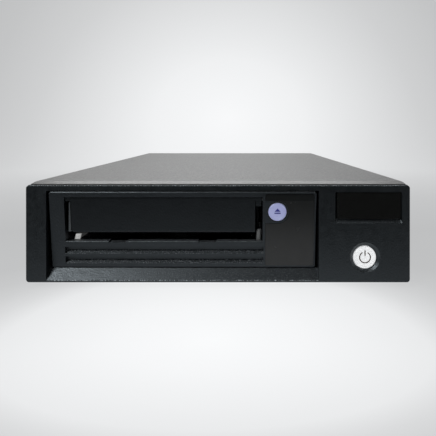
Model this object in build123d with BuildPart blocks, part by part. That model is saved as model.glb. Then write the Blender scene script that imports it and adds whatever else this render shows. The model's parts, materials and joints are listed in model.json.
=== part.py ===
from build123d import *
import math
import os

os.makedirs("parts", exist_ok=True)

# Overall size, in millimetres. X runs to the right, Y to the back, Z up.
overall_width = 213.0
overall_depth = 332.0
overall_height = 58.0
foot_height = 3.3

# Circuit boards and screws
board_thickness = 1.6
screw_radius = 1.5
screw_hole = 1.7
screw_head_radius = 2.9
screw_head = 1.5
screw_length = 6.0

# Clearances
running_gap = 0.3
shaft_gap = 0.05
seat_gap = 0.2

# Enclosure front bezel: its face leans back towards the top
bezel_depth = 13.0
bezel_lean = 5.8
bezel_drop = 1.2
bezel_wall = 2.5
bezel_corner = 1.7
bezel_edge_round = 0.5
opening_from_left = 11.3
opening_from_right = 50.6
opening_bottom = 10.0
opening_from_top = 2.94
sill_front_z = 4.26
sill_run = 5.3
sill_wall = 2.0
hook_width = 12.0
hook_reach = 7.0
hook_thickness = 1.6
hook_margin = 15.5

# Badge recess and its blank plate
badge_margin_left = 9.0
badge_margin_right = 4.4
badge_from_top = 3.7
badge_rise = 15.1
badge_bevel = 2.1
badge_side_bevel_left = 1.2
badge_side_bevel_right = 0.6
badge_recess_depth = 1.5
badge_plate_thickness = 1.1
badge_corner = 0.8
badge_bow = 0.35

# Power button, square to the leaning face
power_off_middle = 0.4
power_z = 17.1
power_radius = 6.2
power_travel = 1.5
power_set_back = 0.4
power_sleeve_wall = 1.6
power_sleeve_depth = 6.0
power_dish_radius = 8.4
power_dish_angle = 101.0
power_flange_radius = 7.6
power_flange_thickness = 1.2
power_stem_radius = 2.2
power_stem_length = 2.0

# Sheet metal of the enclosure
sheet = 1.0
cover_step = 0.5
cover_front_slope = 6.0
cover_front_drop = 1.0
cover_bend = 0.9
cover_lap = 2.0
chassis_flange = 12.0
guard_wire = 0.8
rear_overhang = guard_wire + screw_head
vent_count = 11
vent_pitch = 7.0
vent_width = 2.6
vent_height = 18.0
vent_mid_z = 34.0
vents_from_back = 70.0
floor_vent_columns = 9
floor_vent_rows = 3
floor_vent_pitch_x = 14.0
floor_vent_pitch_y = 9.0
floor_vent_length = 9.0
floor_vent_width = 3.0

# Feet
foot_radius = 7.5
foot_inset_x = 18.0
foot_inset_front = 28.0
foot_inset_rear = 24.0

# Rear panel openings
fan_size = 40.0
fan_depth = 20.0
fan_x = 5.0
fan_blades = 7
fan_bore = 18.6
fan_hub_radius = 9.5
fan_hole_pitch = 32.0
fan_corner = 2.5
fan_seat_depth = 3.0
fan_strut_width = 2.2
fan_strut_depth = 2.6
fan_pin_radius = 1.5
fan_pin_back = 5.0
fan_blade_thickness = 1.0
fan_blade_turn = 38
fan_screw_length = 8.0
guard_rings = (15.0, 10.0, 5.0)
guard_spoke = 1.2
guard_ear = 3.0
inlet_from_side = 28.0
inlet_z = 26.0
inlet_width = 27.0
inlet_height = 19.6
inlet_flange = 2.2
inlet_flange_thickness = 1.6
inlet_depth = 20.0
inlet_wall = 1.5
inlet_cavity_depth = 15.0
inlet_bevel = 4.0
inlet_pin_width = 2.0
inlet_pin_height = 4.0
inlet_pin_short = 3.0
port_from_side = 40.0
port_board_half = 32.0
port_board_from_top = 7.0
port_lower_z = 20.0
port_upper_from_top = 18.0
port_width = 46.0
port_height = 9.6
port_shell_out = 2.0
port_shell_wall = 0.8
port_shell_slope = 75
port_body_depth = 12.0
jack_pitch = 57.0
jack_radius = 2.4
jack_bore = 1.2

# Derived places of the enclosure
bezel_top = overall_height - bezel_drop
opening_top = bezel_top - opening_from_top
badge_top = bezel_top - badge_from_top
badge_bottom = badge_top - badge_rise
port_board_top = overall_height - port_board_from_top
port_heights = (port_lower_z, overall_height - port_upper_from_top)
opening_left = opening_from_left - overall_width / 2
opening_right = overall_width / 2 - opening_from_right
badge_left = opening_right + badge_margin_left
badge_right = overall_width / 2 - badge_margin_right
power_x = (opening_right + overall_width / 2) / 2 + power_off_middle
front_y = -overall_depth / 2
rear_y = overall_depth / 2
bezel_back_y = front_y + bezel_depth
cover_front_y = bezel_back_y + seat_gap
lap_front_y = cover_front_y - cover_lap
lap_z = overall_height - cover_front_drop - sheet
panel_y = rear_y - rear_overhang
floor_z = foot_height + sheet
fan_z = (floor_z + overall_height - sheet) / 2
cover_width = overall_width - 2 * cover_step
cover_side_x = cover_width / 2
inlet_x = cover_side_x - inlet_from_side
port_x = port_from_side - cover_side_x
vents_y = rear_y - vents_from_back
chassis_side_x = cover_side_x - sheet - running_gap
lean = math.atan2(bezel_lean, bezel_top - foot_height)
front_plane = Plane(
    origin=(0, front_y, foot_height),
    x_dir=(1, 0, 0),
    z_dir=(0, -math.cos(lean), math.sin(lean)),
)


def lean_y(z, depth=0.0):
    """Y of the leaning front face at height z, or of a point this deep behind it."""
    return front_y + (z - foot_height) * math.tan(lean) + depth / math.cos(lean)


def on_face(x, z):
    """Plane on the leaning front face, centred at this X and Z."""
    along = (z - foot_height) / math.cos(lean)
    centre = front_plane.from_local_coords((x, along, 0))
    return Plane(origin=centre, x_dir=front_plane.x_dir, z_dir=front_plane.z_dir)


def block(x_range, y_range, z_range, mode=Mode.ADD):
    """Add or cut a block that spans the three low and high values."""
    middle = [(low + high) / 2 for low, high in (x_range, y_range, z_range)]
    size = [high - low for low, high in (x_range, y_range, z_range)]
    with Locations(tuple(middle)):
        Box(*size, mode=mode)


def round_bar(plane, radius, length, mode=Mode.ADD):
    """Add or cut a round bar that starts on the plane."""
    with BuildSketch(plane) as section:
        Circle(radius)
    extrude(section.sketch, amount=length, mode=mode)


def upright(x, y, z):
    """Plane that faces up at this point."""
    return Plane(origin=(x, y, z))


def rearward(x, y, z):
    """Plane that faces the back at this point."""
    return Plane(origin=(x, y, z), x_dir=(1, 0, 0), z_dir=(0, 1, 0))


# Enclosure front bezel
with BuildPart() as front_bezel:
    with BuildSketch(Plane.YZ.offset(-overall_width / 2)):
        with BuildLine():
            Polyline(
                (lean_y(foot_height), foot_height),
                (lean_y(bezel_top), bezel_top),
                (bezel_back_y, bezel_top),
                (bezel_back_y, foot_height),
                close=True,
            )
        make_face()
    extrude(amount=overall_width)
    fillet(front_bezel.edges().filter_by(Axis.Y), radius=bezel_corner)
    fillet(front_bezel.faces().sort_by(Axis.Y)[0].edges(), radius=bezel_edge_round)
    # Opening for the drive, with a sloped sill below it
    block(
        (opening_left, opening_right),
        (front_y - 1, bezel_back_y + 1),
        (opening_bottom, opening_top),
        mode=Mode.SUBTRACT,
    )
    with BuildSketch(Plane.YZ.offset(opening_left)):
        with BuildLine():
            Polyline(
                (lean_y(sill_front_z, -1), sill_front_z - 1),
                (lean_y(sill_front_z), sill_front_z),
                (lean_y(sill_front_z) + sill_run, opening_bottom),
                (lean_y(sill_front_z) + sill_run, opening_bottom + 1),
                (lean_y(sill_front_z, -1), opening_bottom + 1),
                close=True,
            )
        make_face()
    extrude(amount=opening_right - opening_left, mode=Mode.SUBTRACT)
    block(
        (opening_left + sill_wall, opening_right - sill_wall),
        (lean_y(sill_front_z) + sill_run + sill_wall, bezel_back_y + 1),
        (foot_height + sill_wall, opening_bottom - sill_wall),
        mode=Mode.SUBTRACT,
    )
    # Hollow behind the faces beside the opening
    hollows = (
        (opening_right + bezel_wall, overall_width / 2 - bezel_wall),
        (-overall_width / 2 + bezel_wall, opening_left - bezel_wall),
    )
    low_z = foot_height + bezel_wall
    high_z = bezel_top - bezel_wall
    for low_x, high_x in hollows:
        with BuildSketch(Plane.YZ.offset(low_x)):
            with BuildLine():
                Polyline(
                    (lean_y(low_z, bezel_wall), low_z),
                    (lean_y(high_z, bezel_wall), high_z),
                    (bezel_back_y + 1, high_z),
                    (bezel_back_y + 1, low_z),
                    close=True,
                )
            make_face()
        extrude(amount=high_x - low_x, mode=Mode.SUBTRACT)
    # Guide sleeve of the power button, dished at the face
    power_plane = on_face(power_x, power_z)
    sleeve_inner = power_radius + running_gap
    round_bar(
        power_plane.offset(-power_sleeve_depth),
        sleeve_inner + power_sleeve_wall,
        power_sleeve_depth - bezel_wall / 2,
    )
    with Locations(power_plane):
        CounterSinkHole(
            radius=sleeve_inner,
            counter_sink_radius=power_dish_radius,
            depth=power_sleeve_depth + 1,
            counter_sink_angle=power_dish_angle,
        )
    # Badge recess: its walls slope in to the floor, most at the lower edge
    floor_left = badge_left + badge_side_bevel_left
    floor_right = badge_right - badge_side_bevel_right
    rim_bottom = badge_bottom - badge_bevel
    rim_mid = on_face((badge_left + badge_right) / 2, (rim_bottom + badge_top) / 2)
    floor_mid = on_face((floor_left + floor_right) / 2, (badge_bottom + badge_top) / 2)
    rim_height = (badge_top - rim_bottom) / math.cos(lean)
    floor_height = (badge_top - badge_bottom) / math.cos(lean)
    with BuildSketch(rim_mid) as rim:
        RectangleRounded(badge_right - badge_left, rim_height, badge_corner)
    with BuildSketch(floor_mid.offset(-badge_recess_depth)) as recess_floor:
        RectangleRounded(floor_right - floor_left, floor_height, badge_corner)
    loft([rim.sketch.face(), recess_floor.sketch.face()], mode=Mode.SUBTRACT)
    # Step in the top where the cover laps over
    block(
        (-overall_width / 2 - 1, overall_width / 2 + 1),
        (lap_front_y - seat_gap, bezel_back_y + 1),
        (lap_z - seat_gap, bezel_top + 1),
        mode=Mode.SUBTRACT,
    )
    # Hooks that catch on the chassis floor
    opening_middle = (opening_left + opening_right) / 2
    hook_low_z = floor_z + running_gap
    for hook_x in (opening_left + hook_margin, opening_middle, opening_right - hook_margin):
        block(
            (hook_x - hook_width / 2, hook_x + hook_width / 2),
            (bezel_back_y - sill_wall, bezel_back_y + hook_reach),
            (hook_low_z, hook_low_z + hook_thickness),
        )

# Blank badge plate, its lower edge slightly bowed
with BuildPart() as badge_plate:
    half_plate = (floor_right - floor_left) / 2 - shaft_gap
    half_tall = floor_height / 2 - seat_gap
    with BuildSketch(floor_mid.offset(-badge_recess_depth)):
        with BuildLine():
            Line((-half_plate, -half_tall + badge_bow), (-half_plate, half_tall))
            Line((-half_plate, half_tall), (half_plate, half_tall))
            Line((half_plate, half_tall), (half_plate, -half_tall + badge_bow))
            ThreePointArc(
                (half_plate, -half_tall + badge_bow),
                (0, -half_tall),
                (-half_plate, -half_tall + badge_bow),
            )
        make_face()
    extrude(amount=badge_plate_thickness)

# Power button with its retaining flange and stem
with BuildPart() as power_button:
    flange_start = power_sleeve_depth + running_gap
    round_bar(power_plane.offset(-flange_start), power_radius, flange_start - power_set_back)
    fillet(
        power_button.faces().sort_by(Axis.Y)[0].edges(),
        radius=0.5,
    )
    round_bar(
        power_plane.offset(-flange_start - power_flange_thickness),
        power_flange_radius,
        power_flange_thickness,
    )
    stem_end = flange_start + power_flange_thickness + power_stem_length
    round_bar(power_plane.offset(-stem_end), power_stem_radius, power_stem_length)

# Switch board behind the power button, standing on the chassis floor
switch_board_gap = 4.0
switch_board_y = bezel_back_y + switch_board_gap
switch_board_width = 26.0
switch_board_top = 34.3
switch_size = 8.0
switch_drop = 1.0
with BuildPart() as power_switch:
    block(
        (power_x - switch_board_width / 2, power_x + switch_board_width / 2),
        (switch_board_y, switch_board_y + board_thickness),
        (floor_z + running_gap, switch_board_top),
    )
    switch_front = lean_y(power_z, stem_end + power_travel + running_gap)
    block(
        (power_x - switch_size / 2, power_x + switch_size / 2),
        (switch_front, switch_board_y),
        (power_z - switch_size / 2 - switch_drop, power_z + switch_size / 2 - switch_drop),
    )

# Top cover: sheet steel, sloped along its front edge, vented at both sides
cover_back_y = panel_y - sheet - seat_gap


def cover_outline(inset, past):
    """Side outline of the cover, drawn inwards by the inset, running past its ends."""
    crest = overall_height - inset
    front = overall_height - cover_front_drop - inset
    with BuildSketch(Plane.YZ.offset(-cover_side_x + inset)) as outline:
        with BuildLine():
            Polyline(
                (lap_front_y - past, floor_z - past),
                (lap_front_y - past, front),
                (lap_front_y, front),
                (lap_front_y + cover_front_slope, crest),
                (cover_back_y + past, crest),
                (cover_back_y + past, floor_z - past),
                close=True,
            )
        make_face()
    return outline.sketch


with BuildPart() as top_cover:
    with BuildSketch(Plane.YZ.offset(-cover_side_x)):
        with BuildLine():
            Polyline(
                (cover_front_y, floor_z),
                (cover_front_y, lap_z),
                (lap_front_y, lap_z),
                (lap_front_y, overall_height - cover_front_drop),
                (lap_front_y + cover_front_slope, overall_height),
                (cover_back_y, overall_height),
                (cover_back_y, floor_z),
                close=True,
            )
        make_face()
    extrude(amount=cover_width)
    top_edges = top_cover.edges().filter_by(Axis.Y).group_by(Axis.Z)[-1]
    fillet(top_edges, radius=cover_bend)
    extrude(cover_outline(sheet, 2.0), amount=cover_width - 2 * sheet, mode=Mode.SUBTRACT)
    # Vents in both sides
    with BuildSketch(Plane.YZ.offset(-cover_side_x - 1)):
        with Locations((vents_y, vent_mid_z)):
            with GridLocations(vent_pitch, 0, vent_count, 1):
                SlotOverall(vent_height, vent_width, rotation=90)
    extrude(amount=cover_width + 2, mode=Mode.SUBTRACT)

# Base chassis: floor with upturned side flanges
with BuildPart() as base_chassis:
    block(
        (-chassis_side_x, chassis_side_x),
        (cover_front_y, panel_y - sheet),
        (foot_height, floor_z),
    )
    for side in (-1, 1):
        inner = side * (chassis_side_x - sheet)
        outer = side * chassis_side_x
        block(
            (min(inner, outer), max(inner, outer)),
            (cover_front_y, panel_y - sheet - running_gap),
            (floor_z - 0.1, floor_z + chassis_flange),
        )
    with BuildSketch(Plane.XY.offset(foot_height - 1)):
        with Locations((fan_x, vents_y)):
            with GridLocations(
                floor_vent_pitch_x, floor_vent_pitch_y, floor_vent_columns, floor_vent_rows
            ):
                SlotOverall(floor_vent_length, floor_vent_width)
    extrude(amount=sheet + 2, mode=Mode.SUBTRACT)

# Four rubber feet
foot_spots = [
    (side * (cover_side_x - foot_inset_x), y)
    for side in (-1, 1)
    for y in (front_y + foot_inset_front, rear_y - foot_inset_rear)
]
with BuildPart() as rubber_feet:
    with BuildSketch(Plane.XY):
        with Locations(*foot_spots):
            Circle(foot_radius - 0.8)
    extrude(amount=foot_height, taper=-6)

# Rear panel, cut for the fan, the inlet and the ports
with BuildPart() as rear_panel:
    block(
        (-cover_side_x, cover_side_x),
        (panel_y - sheet, panel_y),
        (floor_z, overall_height - seat_gap),
    )
    fillet(rear_panel.edges().filter_by(Axis.Y).group_by(Axis.Z)[-1], radius=cover_bend)
    round_bar(rearward(fan_x, panel_y - sheet - 1, fan_z), fan_bore, sheet + 2, Mode.SUBTRACT)
    half_hole = fan_hole_pitch / 2
    for across in (-half_hole, half_hole):
        for up in (-half_hole, half_hole):
            round_bar(
                rearward(fan_x + across, panel_y - sheet - 1, fan_z + up),
                screw_hole,
                sheet + 2,
                Mode.SUBTRACT,
            )
    block(
        (inlet_x - inlet_width / 2 - seat_gap, inlet_x + inlet_width / 2 + seat_gap),
        (panel_y - sheet - 1, panel_y + 1),
        (inlet_z - inlet_height / 2 - seat_gap, inlet_z + inlet_height / 2 + seat_gap),
        mode=Mode.SUBTRACT,
    )
    for port_z in port_heights:
        block(
            (port_x - port_width / 2 - seat_gap, port_x + port_width / 2 + seat_gap),
            (panel_y - sheet - 1, panel_y + 1),
            (port_z - port_height / 2 - seat_gap, port_z + port_height / 2 + seat_gap),
            mode=Mode.SUBTRACT,
        )
        for side in (-1, 1):
            round_bar(
                rearward(port_x + side * jack_pitch / 2, panel_y - sheet - 1, port_z),
                jack_radius + seat_gap,
                sheet + 2,
                Mode.SUBTRACT,
            )

# Fan: housing, finger guard and rotor
fan_front_y = panel_y - sheet - fan_depth
fan_clear = 0.5
with BuildPart() as fan_housing:
    with BuildSketch(Plane.XZ.offset(-(fan_front_y + fan_depth))):
        with Locations((fan_x, fan_z)):
            RectangleRounded(fan_size, fan_size, fan_corner)
            Circle(fan_bore, mode=Mode.SUBTRACT)
            with GridLocations(fan_hole_pitch, fan_hole_pitch, 2, 2):
                Circle(screw_hole, mode=Mode.SUBTRACT)
    extrude(amount=fan_depth)
    # Motor seat, held by three struts at the outlet side
    seat_y = fan_front_y + fan_depth - fan_seat_depth
    round_bar(rearward(fan_x, seat_y, fan_z), fan_hub_radius, fan_seat_depth)
    with BuildSketch(Plane.XZ.offset(-(seat_y + fan_seat_depth))):
        with Locations((fan_x, fan_z)):
            with PolarLocations((fan_hub_radius + fan_bore) / 2, 3, start_angle=30):
                Rectangle(fan_bore - fan_hub_radius + 1, fan_strut_width)
    extrude(amount=fan_strut_depth)
    pin_y = fan_front_y + fan_pin_back
    round_bar(rearward(fan_x, pin_y, fan_z), fan_pin_radius, seat_y - pin_y)

with BuildPart() as fan_rotor:
    rotor_y = fan_front_y + 2.0
    rotor_depth = seat_y - fan_clear - rotor_y
    round_bar(rearward(fan_x, rotor_y, fan_z), fan_hub_radius, rotor_depth)
    round_bar(
        rearward(fan_x, rotor_y + 1.5, fan_z),
        fan_pin_radius + shaft_gap,
        rotor_depth,
        Mode.SUBTRACT,
    )
    blade_length = fan_bore - fan_clear - fan_hub_radius
    for turn in range(fan_blades):
        blade_angle = math.radians(turn * 360 / fan_blades)
        root = Plane(
            origin=(
                fan_x + (fan_hub_radius - 0.8) * math.cos(blade_angle),
                rotor_y + rotor_depth / 2,
                fan_z + (fan_hub_radius - 0.8) * math.sin(blade_angle),
            ),
            x_dir=(0, 1, 0),
            z_dir=(math.cos(blade_angle), 0, math.sin(blade_angle)),
        )
        with BuildSketch(root) as blade:
            Rectangle(rotor_depth - 3, fan_blade_thickness, rotation=fan_blade_turn)
        extrude(blade.sketch, amount=blade_length)

with BuildPart() as fan_guard:
    with BuildSketch(Plane.XZ.offset(-(panel_y + guard_wire))):
        with Locations((fan_x, fan_z)):
            for ring in guard_rings:
                Circle(ring + guard_wire / 2)
                Circle(ring - guard_wire / 2, mode=Mode.SUBTRACT)
    extrude(amount=-guard_wire)
    with BuildSketch(Plane.XZ.offset(-(panel_y + guard_wire))):
        with Locations((fan_x, fan_z)):
            for turn in (45, 135):
                Rectangle(fan_hole_pitch * math.sqrt(2), guard_spoke, rotation=turn)
            with GridLocations(fan_hole_pitch, fan_hole_pitch, 2, 2):
                Circle(guard_ear)
                Circle(screw_hole, mode=Mode.SUBTRACT)
    extrude(amount=guard_wire)

# Mains inlet: a flanged shroud with three pins
with BuildPart() as power_inlet:
    block(
        (inlet_x - inlet_width / 2, inlet_x + inlet_width / 2),
        (panel_y - inlet_depth, panel_y),
        (inlet_z - inlet_height / 2, inlet_z + inlet_height / 2),
    )
    block(
        (inlet_x - inlet_width / 2 - inlet_flange, inlet_x + inlet_width / 2 + inlet_flange),
        (panel_y, panel_y + inlet_flange_thickness),
        (inlet_z - inlet_height / 2 - inlet_flange, inlet_z + inlet_height / 2 + inlet_flange),
    )
    cavity_floor_y = panel_y + inlet_flange_thickness - inlet_cavity_depth
    half_cavity = inlet_width / 2 - inlet_wall
    half_rise = inlet_height / 2 - inlet_wall
    with BuildSketch(rearward(inlet_x, cavity_floor_y, inlet_z)):
        with BuildLine():
            Polyline(
                (-half_cavity, half_rise),
                (half_cavity, half_rise),
                (half_cavity, inlet_bevel - half_rise),
                (half_cavity - inlet_bevel, -half_rise),
                (inlet_bevel - half_cavity, -half_rise),
                (-half_cavity, inlet_bevel - half_rise),
                close=True,
            )
        make_face()
    extrude(amount=inlet_cavity_depth + 1, mode=Mode.SUBTRACT)

with BuildPart() as inlet_pins:
    for pin_x, pin_z in ((-7.0, -2.0), (0.0, 2.0), (7.0, -2.0)):
        block(
            (inlet_x + pin_x - inlet_pin_width / 2, inlet_x + pin_x + inlet_pin_width / 2),
            (cavity_floor_y, cavity_floor_y + inlet_cavity_depth - inlet_pin_short),
            (inlet_z + pin_z - inlet_pin_height / 2, inlet_z + pin_z + inlet_pin_height / 2),
        )

# Data port board with two external sockets and their jack posts
port_board_y = panel_y - sheet - port_body_depth
with BuildPart() as port_board:
    block(
        (port_x - port_board_half, port_x + port_board_half),
        (port_board_y - board_thickness, port_board_y),
        (floor_z + running_gap, port_board_top),
    )

with BuildPart() as data_ports:
    for port_z in port_heights:
        block(
            (port_x - port_width / 2, port_x + port_width / 2),
            (port_board_y, panel_y),
            (port_z - port_height / 2, port_z + port_height / 2),
        )
        with BuildSketch(Plane.XZ.offset(-panel_y)):
            with Locations((port_x, port_z)):
                for inset, how in ((1, Mode.ADD), (2, Mode.SUBTRACT)):
                    trim = 2 * port_shell_wall * inset
                    Trapezoid(port_width - trim, port_height - trim, port_shell_slope, mode=how)
        extrude(amount=-port_shell_out)

with BuildPart() as jack_posts:
    for port_z in port_heights:
        for side in (-1, 1):
            jack_x = port_x + side * jack_pitch / 2
            with BuildSketch(rearward(jack_x, port_board_y, port_z)):
                RegularPolygon(jack_radius, 6)
                Circle(jack_bore, mode=Mode.SUBTRACT)
            extrude(amount=panel_y - port_board_y + port_shell_out)

# Half-height drive: size and place inside the enclosure
drive_gap_left = 1.4
drive_gap_right = 1.2
drive_gap_bottom = 0.4
drive_gap_top = 0.86
drive_set_back = 5.2
drive_bezel_thickness = 5.0
drive_bezel_skirt = 2.0
drive_corner = 1.0
skirt_width = 20.0
skirt_margin = 32.0
skirt_thickness = 1.2
skirt_inset = 1.0
drive_edge_round = 0.4
body_narrower = 2.5
body_length = 198.0
body_inset_bottom = 1.0
body_inset_top = 0.6
body_wall = 2.5
drive_cover_sheet = 0.8

# Cartridge aperture, ledge and louvres of the drive bezel
slot_from_left = 8.3
slot_from_right = 29.8
slot_from_top = 2.8
ledge_z = 25.4
ledge_notch_depth = 0.7
ledge_notch_width = 10.1
ledge_notch_from_left = 29.2
ledge_notch_from_right = 31.05
louvre_past_slot = 0.5
louvre_depth = 2.6
louvres = (
    (22.16, 19.99, 18.12),
    (16.67, 14.49, 12.72),
)

# Dark status window and its notch round the eject button
window_from_slot = 1.5
window_from_right = 1.2
window_inset_bottom = 1.15
window_inset_top = 0.95
window_thickness = 2.2
window_proud = 0.3
window_corner = 1.2
window_slope = 0.9
notch_from_top = 3.77
notch_rise = 12.87
eject_from_window = 6.7
eject_from_top = 10.1
eject_radius = 5.08
eject_travel = 1.0
eject_gap = 0.25
eject_proud = 0.2
eject_back_y = 5.8
eject_flange = 1.0

# Door, hung on a pin at the top of the aperture
door_set_back = 0.8
door_thickness = 2.0
door_from_left = 2.5
door_from_right = 3.85
door_above_ledge = 4.5
door_bar_rise = 2.2
door_bar_gap = 0.3
door_top_gap = 0.4
door_tab_rise = 5.1
door_tab_width = 3.0
door_edge_round = 1.3
door_corner = 2.4
pin_back = 2.9
pin_from_slot_top = 1.3
pin_radius = 0.6
barrel_radius = 1.0
pin_end = 2.0

# Derived places of the drive
drive_y = front_y + drive_set_back
drive_bottom = opening_bottom + drive_gap_bottom
drive_top = opening_top - drive_gap_top
body_bottom = drive_bottom + body_inset_bottom
body_top = drive_top - body_inset_top
slot_top = drive_top - slot_from_top
window_bottom = drive_bottom + window_inset_bottom
window_top = drive_top - window_inset_top
notch_top = window_top - notch_from_top
notch_bottom = notch_top - notch_rise
eject_z = window_top - eject_from_top
door_bottom = ledge_z + door_above_ledge
door_bar_bottom = slot_top - door_bar_rise
door_tab_bottom = slot_top - door_tab_rise
pin_z = slot_top - pin_from_slot_top
drive_left = opening_left + drive_gap_left
drive_right = opening_right - drive_gap_right
drive_middle_x = (drive_left + drive_right) / 2
body_width = drive_right - drive_left - body_narrower
body_left = drive_middle_x - body_width / 2
body_right = drive_middle_x + body_width / 2
slot_left = drive_left + slot_from_left
slot_right = drive_right - slot_from_right
slot_middle_x = (slot_left + slot_right) / 2
window_left = slot_right + window_from_slot
window_right = drive_right - window_from_right
eject_x = window_left + eject_from_window
door_left = slot_left + door_from_left
door_right = slot_right - door_from_right
louvre_left = slot_left - louvre_past_slot
louvre_right = slot_right + louvre_past_slot
drive_back_y = drive_y + drive_bezel_thickness + drive_bezel_skirt
body_back_y = drive_back_y + body_length


def window_outline(grow):
    """Outline of the status window, open to the left round the eject button."""
    with BuildSketch(Plane.XZ.offset(-drive_y)) as outline:
        with Locations(
            ((window_left + window_right) / 2, (window_bottom + window_top) / 2)
        ):
            RectangleRounded(
                window_right - window_left + 2 * grow,
                window_top - window_bottom + 2 * grow,
                window_corner,
            )
        notch_radius = (notch_top - notch_bottom) / 2 - grow
        notch_z = (notch_top + notch_bottom) / 2
        with Locations((eject_x, notch_z)):
            Circle(notch_radius, mode=Mode.SUBTRACT)
        with Locations(((window_left - 2 + eject_x) / 2, notch_z)):
            Rectangle(eject_x - window_left + 2, 2 * notch_radius, mode=Mode.SUBTRACT)
    return outline.sketch


# Drive bezel
with BuildPart() as drive_bezel:
    with BuildSketch(Plane.XZ.offset(-drive_y)):
        with Locations((drive_middle_x, (drive_bottom + drive_top) / 2)):
            RectangleRounded(drive_right - drive_left, drive_top - drive_bottom, drive_corner)
    extrude(amount=-drive_bezel_thickness)
    fillet(drive_bezel.faces().sort_by(Axis.Y)[0].edges(), radius=drive_edge_round)
    block(
        (slot_left, slot_right),
        (drive_y - 1, drive_y + drive_bezel_thickness + 1),
        (ledge_z, slot_top),
        mode=Mode.SUBTRACT,
    )
    for notch_x in (slot_left + ledge_notch_from_left, slot_right - ledge_notch_from_right):
        block(
            (notch_x - ledge_notch_width / 2, notch_x + ledge_notch_width / 2),
            (drive_y - 1, drive_y + drive_bezel_thickness + 1),
            (ledge_z - ledge_notch_depth, ledge_z + 1),
            mode=Mode.SUBTRACT,
        )
    for groove_top, slope_back_z, slope_front_z in louvres:
        with BuildSketch(Plane.YZ.offset(louvre_left)):
            with BuildLine():
                Polyline(
                    (drive_y - 0.01, groove_top),
                    (drive_y + louvre_depth, groove_top),
                    (drive_y + louvre_depth, slope_back_z),
                    (drive_y - 0.01, slope_front_z),
                    close=True,
                )
            make_face()
        extrude(amount=louvre_right - louvre_left, mode=Mode.SUBTRACT)
    extrude(window_outline(0.1), amount=-window_thickness, mode=Mode.SUBTRACT)
    round_bar(
        rearward(eject_x, drive_y - 1, eject_z),
        eject_radius + eject_gap,
        drive_bezel_thickness + 2,
        Mode.SUBTRACT,
    )
    # Holes for the ends of the door pin
    pin_start = Plane.YZ.offset(slot_left - pin_end)
    with BuildSketch(pin_start):
        with Locations((drive_y + pin_back, pin_z)):
            Circle(pin_radius + shaft_gap)
    extrude(amount=slot_right - slot_left + 2 * pin_end, mode=Mode.SUBTRACT)
    # Snap skirt at the back
    for skirt_z in (drive_bottom + skirt_inset, drive_top - skirt_inset - skirt_thickness):
        for skirt_x in (body_left + skirt_margin, body_right - skirt_margin):
            block(
                (skirt_x - skirt_width / 2, skirt_x + skirt_width / 2),
                (drive_y + drive_bezel_thickness - 0.1, drive_back_y - seat_gap),
                (skirt_z, skirt_z + skirt_thickness),
            )

with BuildPart() as status_window:
    extrude(window_outline(0), amount=-window_thickness + 0.1)
    extrude(window_outline(0), amount=window_proud)
    # The band above the eject button slopes back to the upper edge
    window_face_y = drive_y - window_proud
    with BuildSketch(Plane.YZ.offset(window_left - 1)) as slope:
        with BuildLine():
            Polyline(
                (window_face_y - 1, notch_top),
                (window_face_y, notch_top),
                (window_face_y + window_slope, window_top),
                (window_face_y + window_slope, window_top + 1),
                (window_face_y - 1, window_top + 1),
                close=True,
            )
        make_face()
    extrude(slope.sketch, amount=window_right - window_left + 2, mode=Mode.SUBTRACT)

# Door with its top bar, right tab and hinge barrel
door_front_y = drive_y + door_set_back
with BuildPart() as cartridge_door:
    block(
        (door_left, door_right),
        (door_front_y, door_front_y + door_thickness),
        (door_bottom, door_bar_bottom + 0.5),
    )
    lower_left = cartridge_door.edges().filter_by(Axis.Y).group_by(Axis.Z)[0].sort_by(Axis.X)[0]
    fillet(lower_left, radius=door_corner)
    fillet(
        cartridge_door.faces().sort_by(Axis.Y)[0].edges().filter_by(
            lambda edge: edge.center().Z < door_bar_bottom
        ),
        radius=door_edge_round,
    )
    block(
        (slot_left + door_bar_gap, slot_right - door_bar_gap),
        (door_front_y, door_front_y + door_thickness),
        (door_bar_bottom, slot_top - door_top_gap),
    )
    block(
        (door_right - 0.1, door_right + door_tab_width),
        (door_front_y, door_front_y + door_thickness),
        (door_tab_bottom, door_bar_bottom + 0.1),
    )
    with BuildSketch(Plane.YZ.offset(slot_left + door_bar_gap)) as barrel:
        with Locations((drive_y + pin_back, pin_z)):
            Circle(barrel_radius)
    extrude(barrel.sketch, amount=slot_right - slot_left - 2 * door_bar_gap)
    with BuildSketch(Plane.YZ.offset(slot_left)) as bore:
        with Locations((drive_y + pin_back, pin_z)):
            Circle(pin_radius + shaft_gap)
    extrude(bore.sketch, amount=slot_right - slot_left, mode=Mode.SUBTRACT)

with BuildPart() as door_pin:
    with BuildSketch(Plane.YZ.offset(slot_left - pin_end + shaft_gap)):
        with Locations((drive_y + pin_back, pin_z)):
            Circle(pin_radius)
    extrude(amount=slot_right - slot_left + 2 * pin_end - 2 * shaft_gap)

with BuildPart() as eject_button:
    round_bar(
        rearward(eject_x, drive_y - eject_proud, eject_z), eject_radius, eject_back_y + eject_proud
    )
    fillet(eject_button.faces().sort_by(Axis.Y)[0].edges(), radius=0.5)
    round_bar(
        rearward(eject_x, drive_y + eject_back_y, eject_z),
        eject_radius + eject_flange,
        eject_flange,
    )

# Grey guide post, seen at the right below the door
post_from_slot = 2.0
post_back = 3.6
post_radius = 1.6
post_height = 6.4
with BuildPart() as guide_post:
    post_x = slot_right - post_from_slot
    post_y = drive_y + post_back
    round_bar(upright(post_x, post_y, ledge_z), post_radius, post_height)
    fillet(guide_post.faces().sort_by(Axis.Z)[-1].edges(), radius=0.75 * post_radius)

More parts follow.
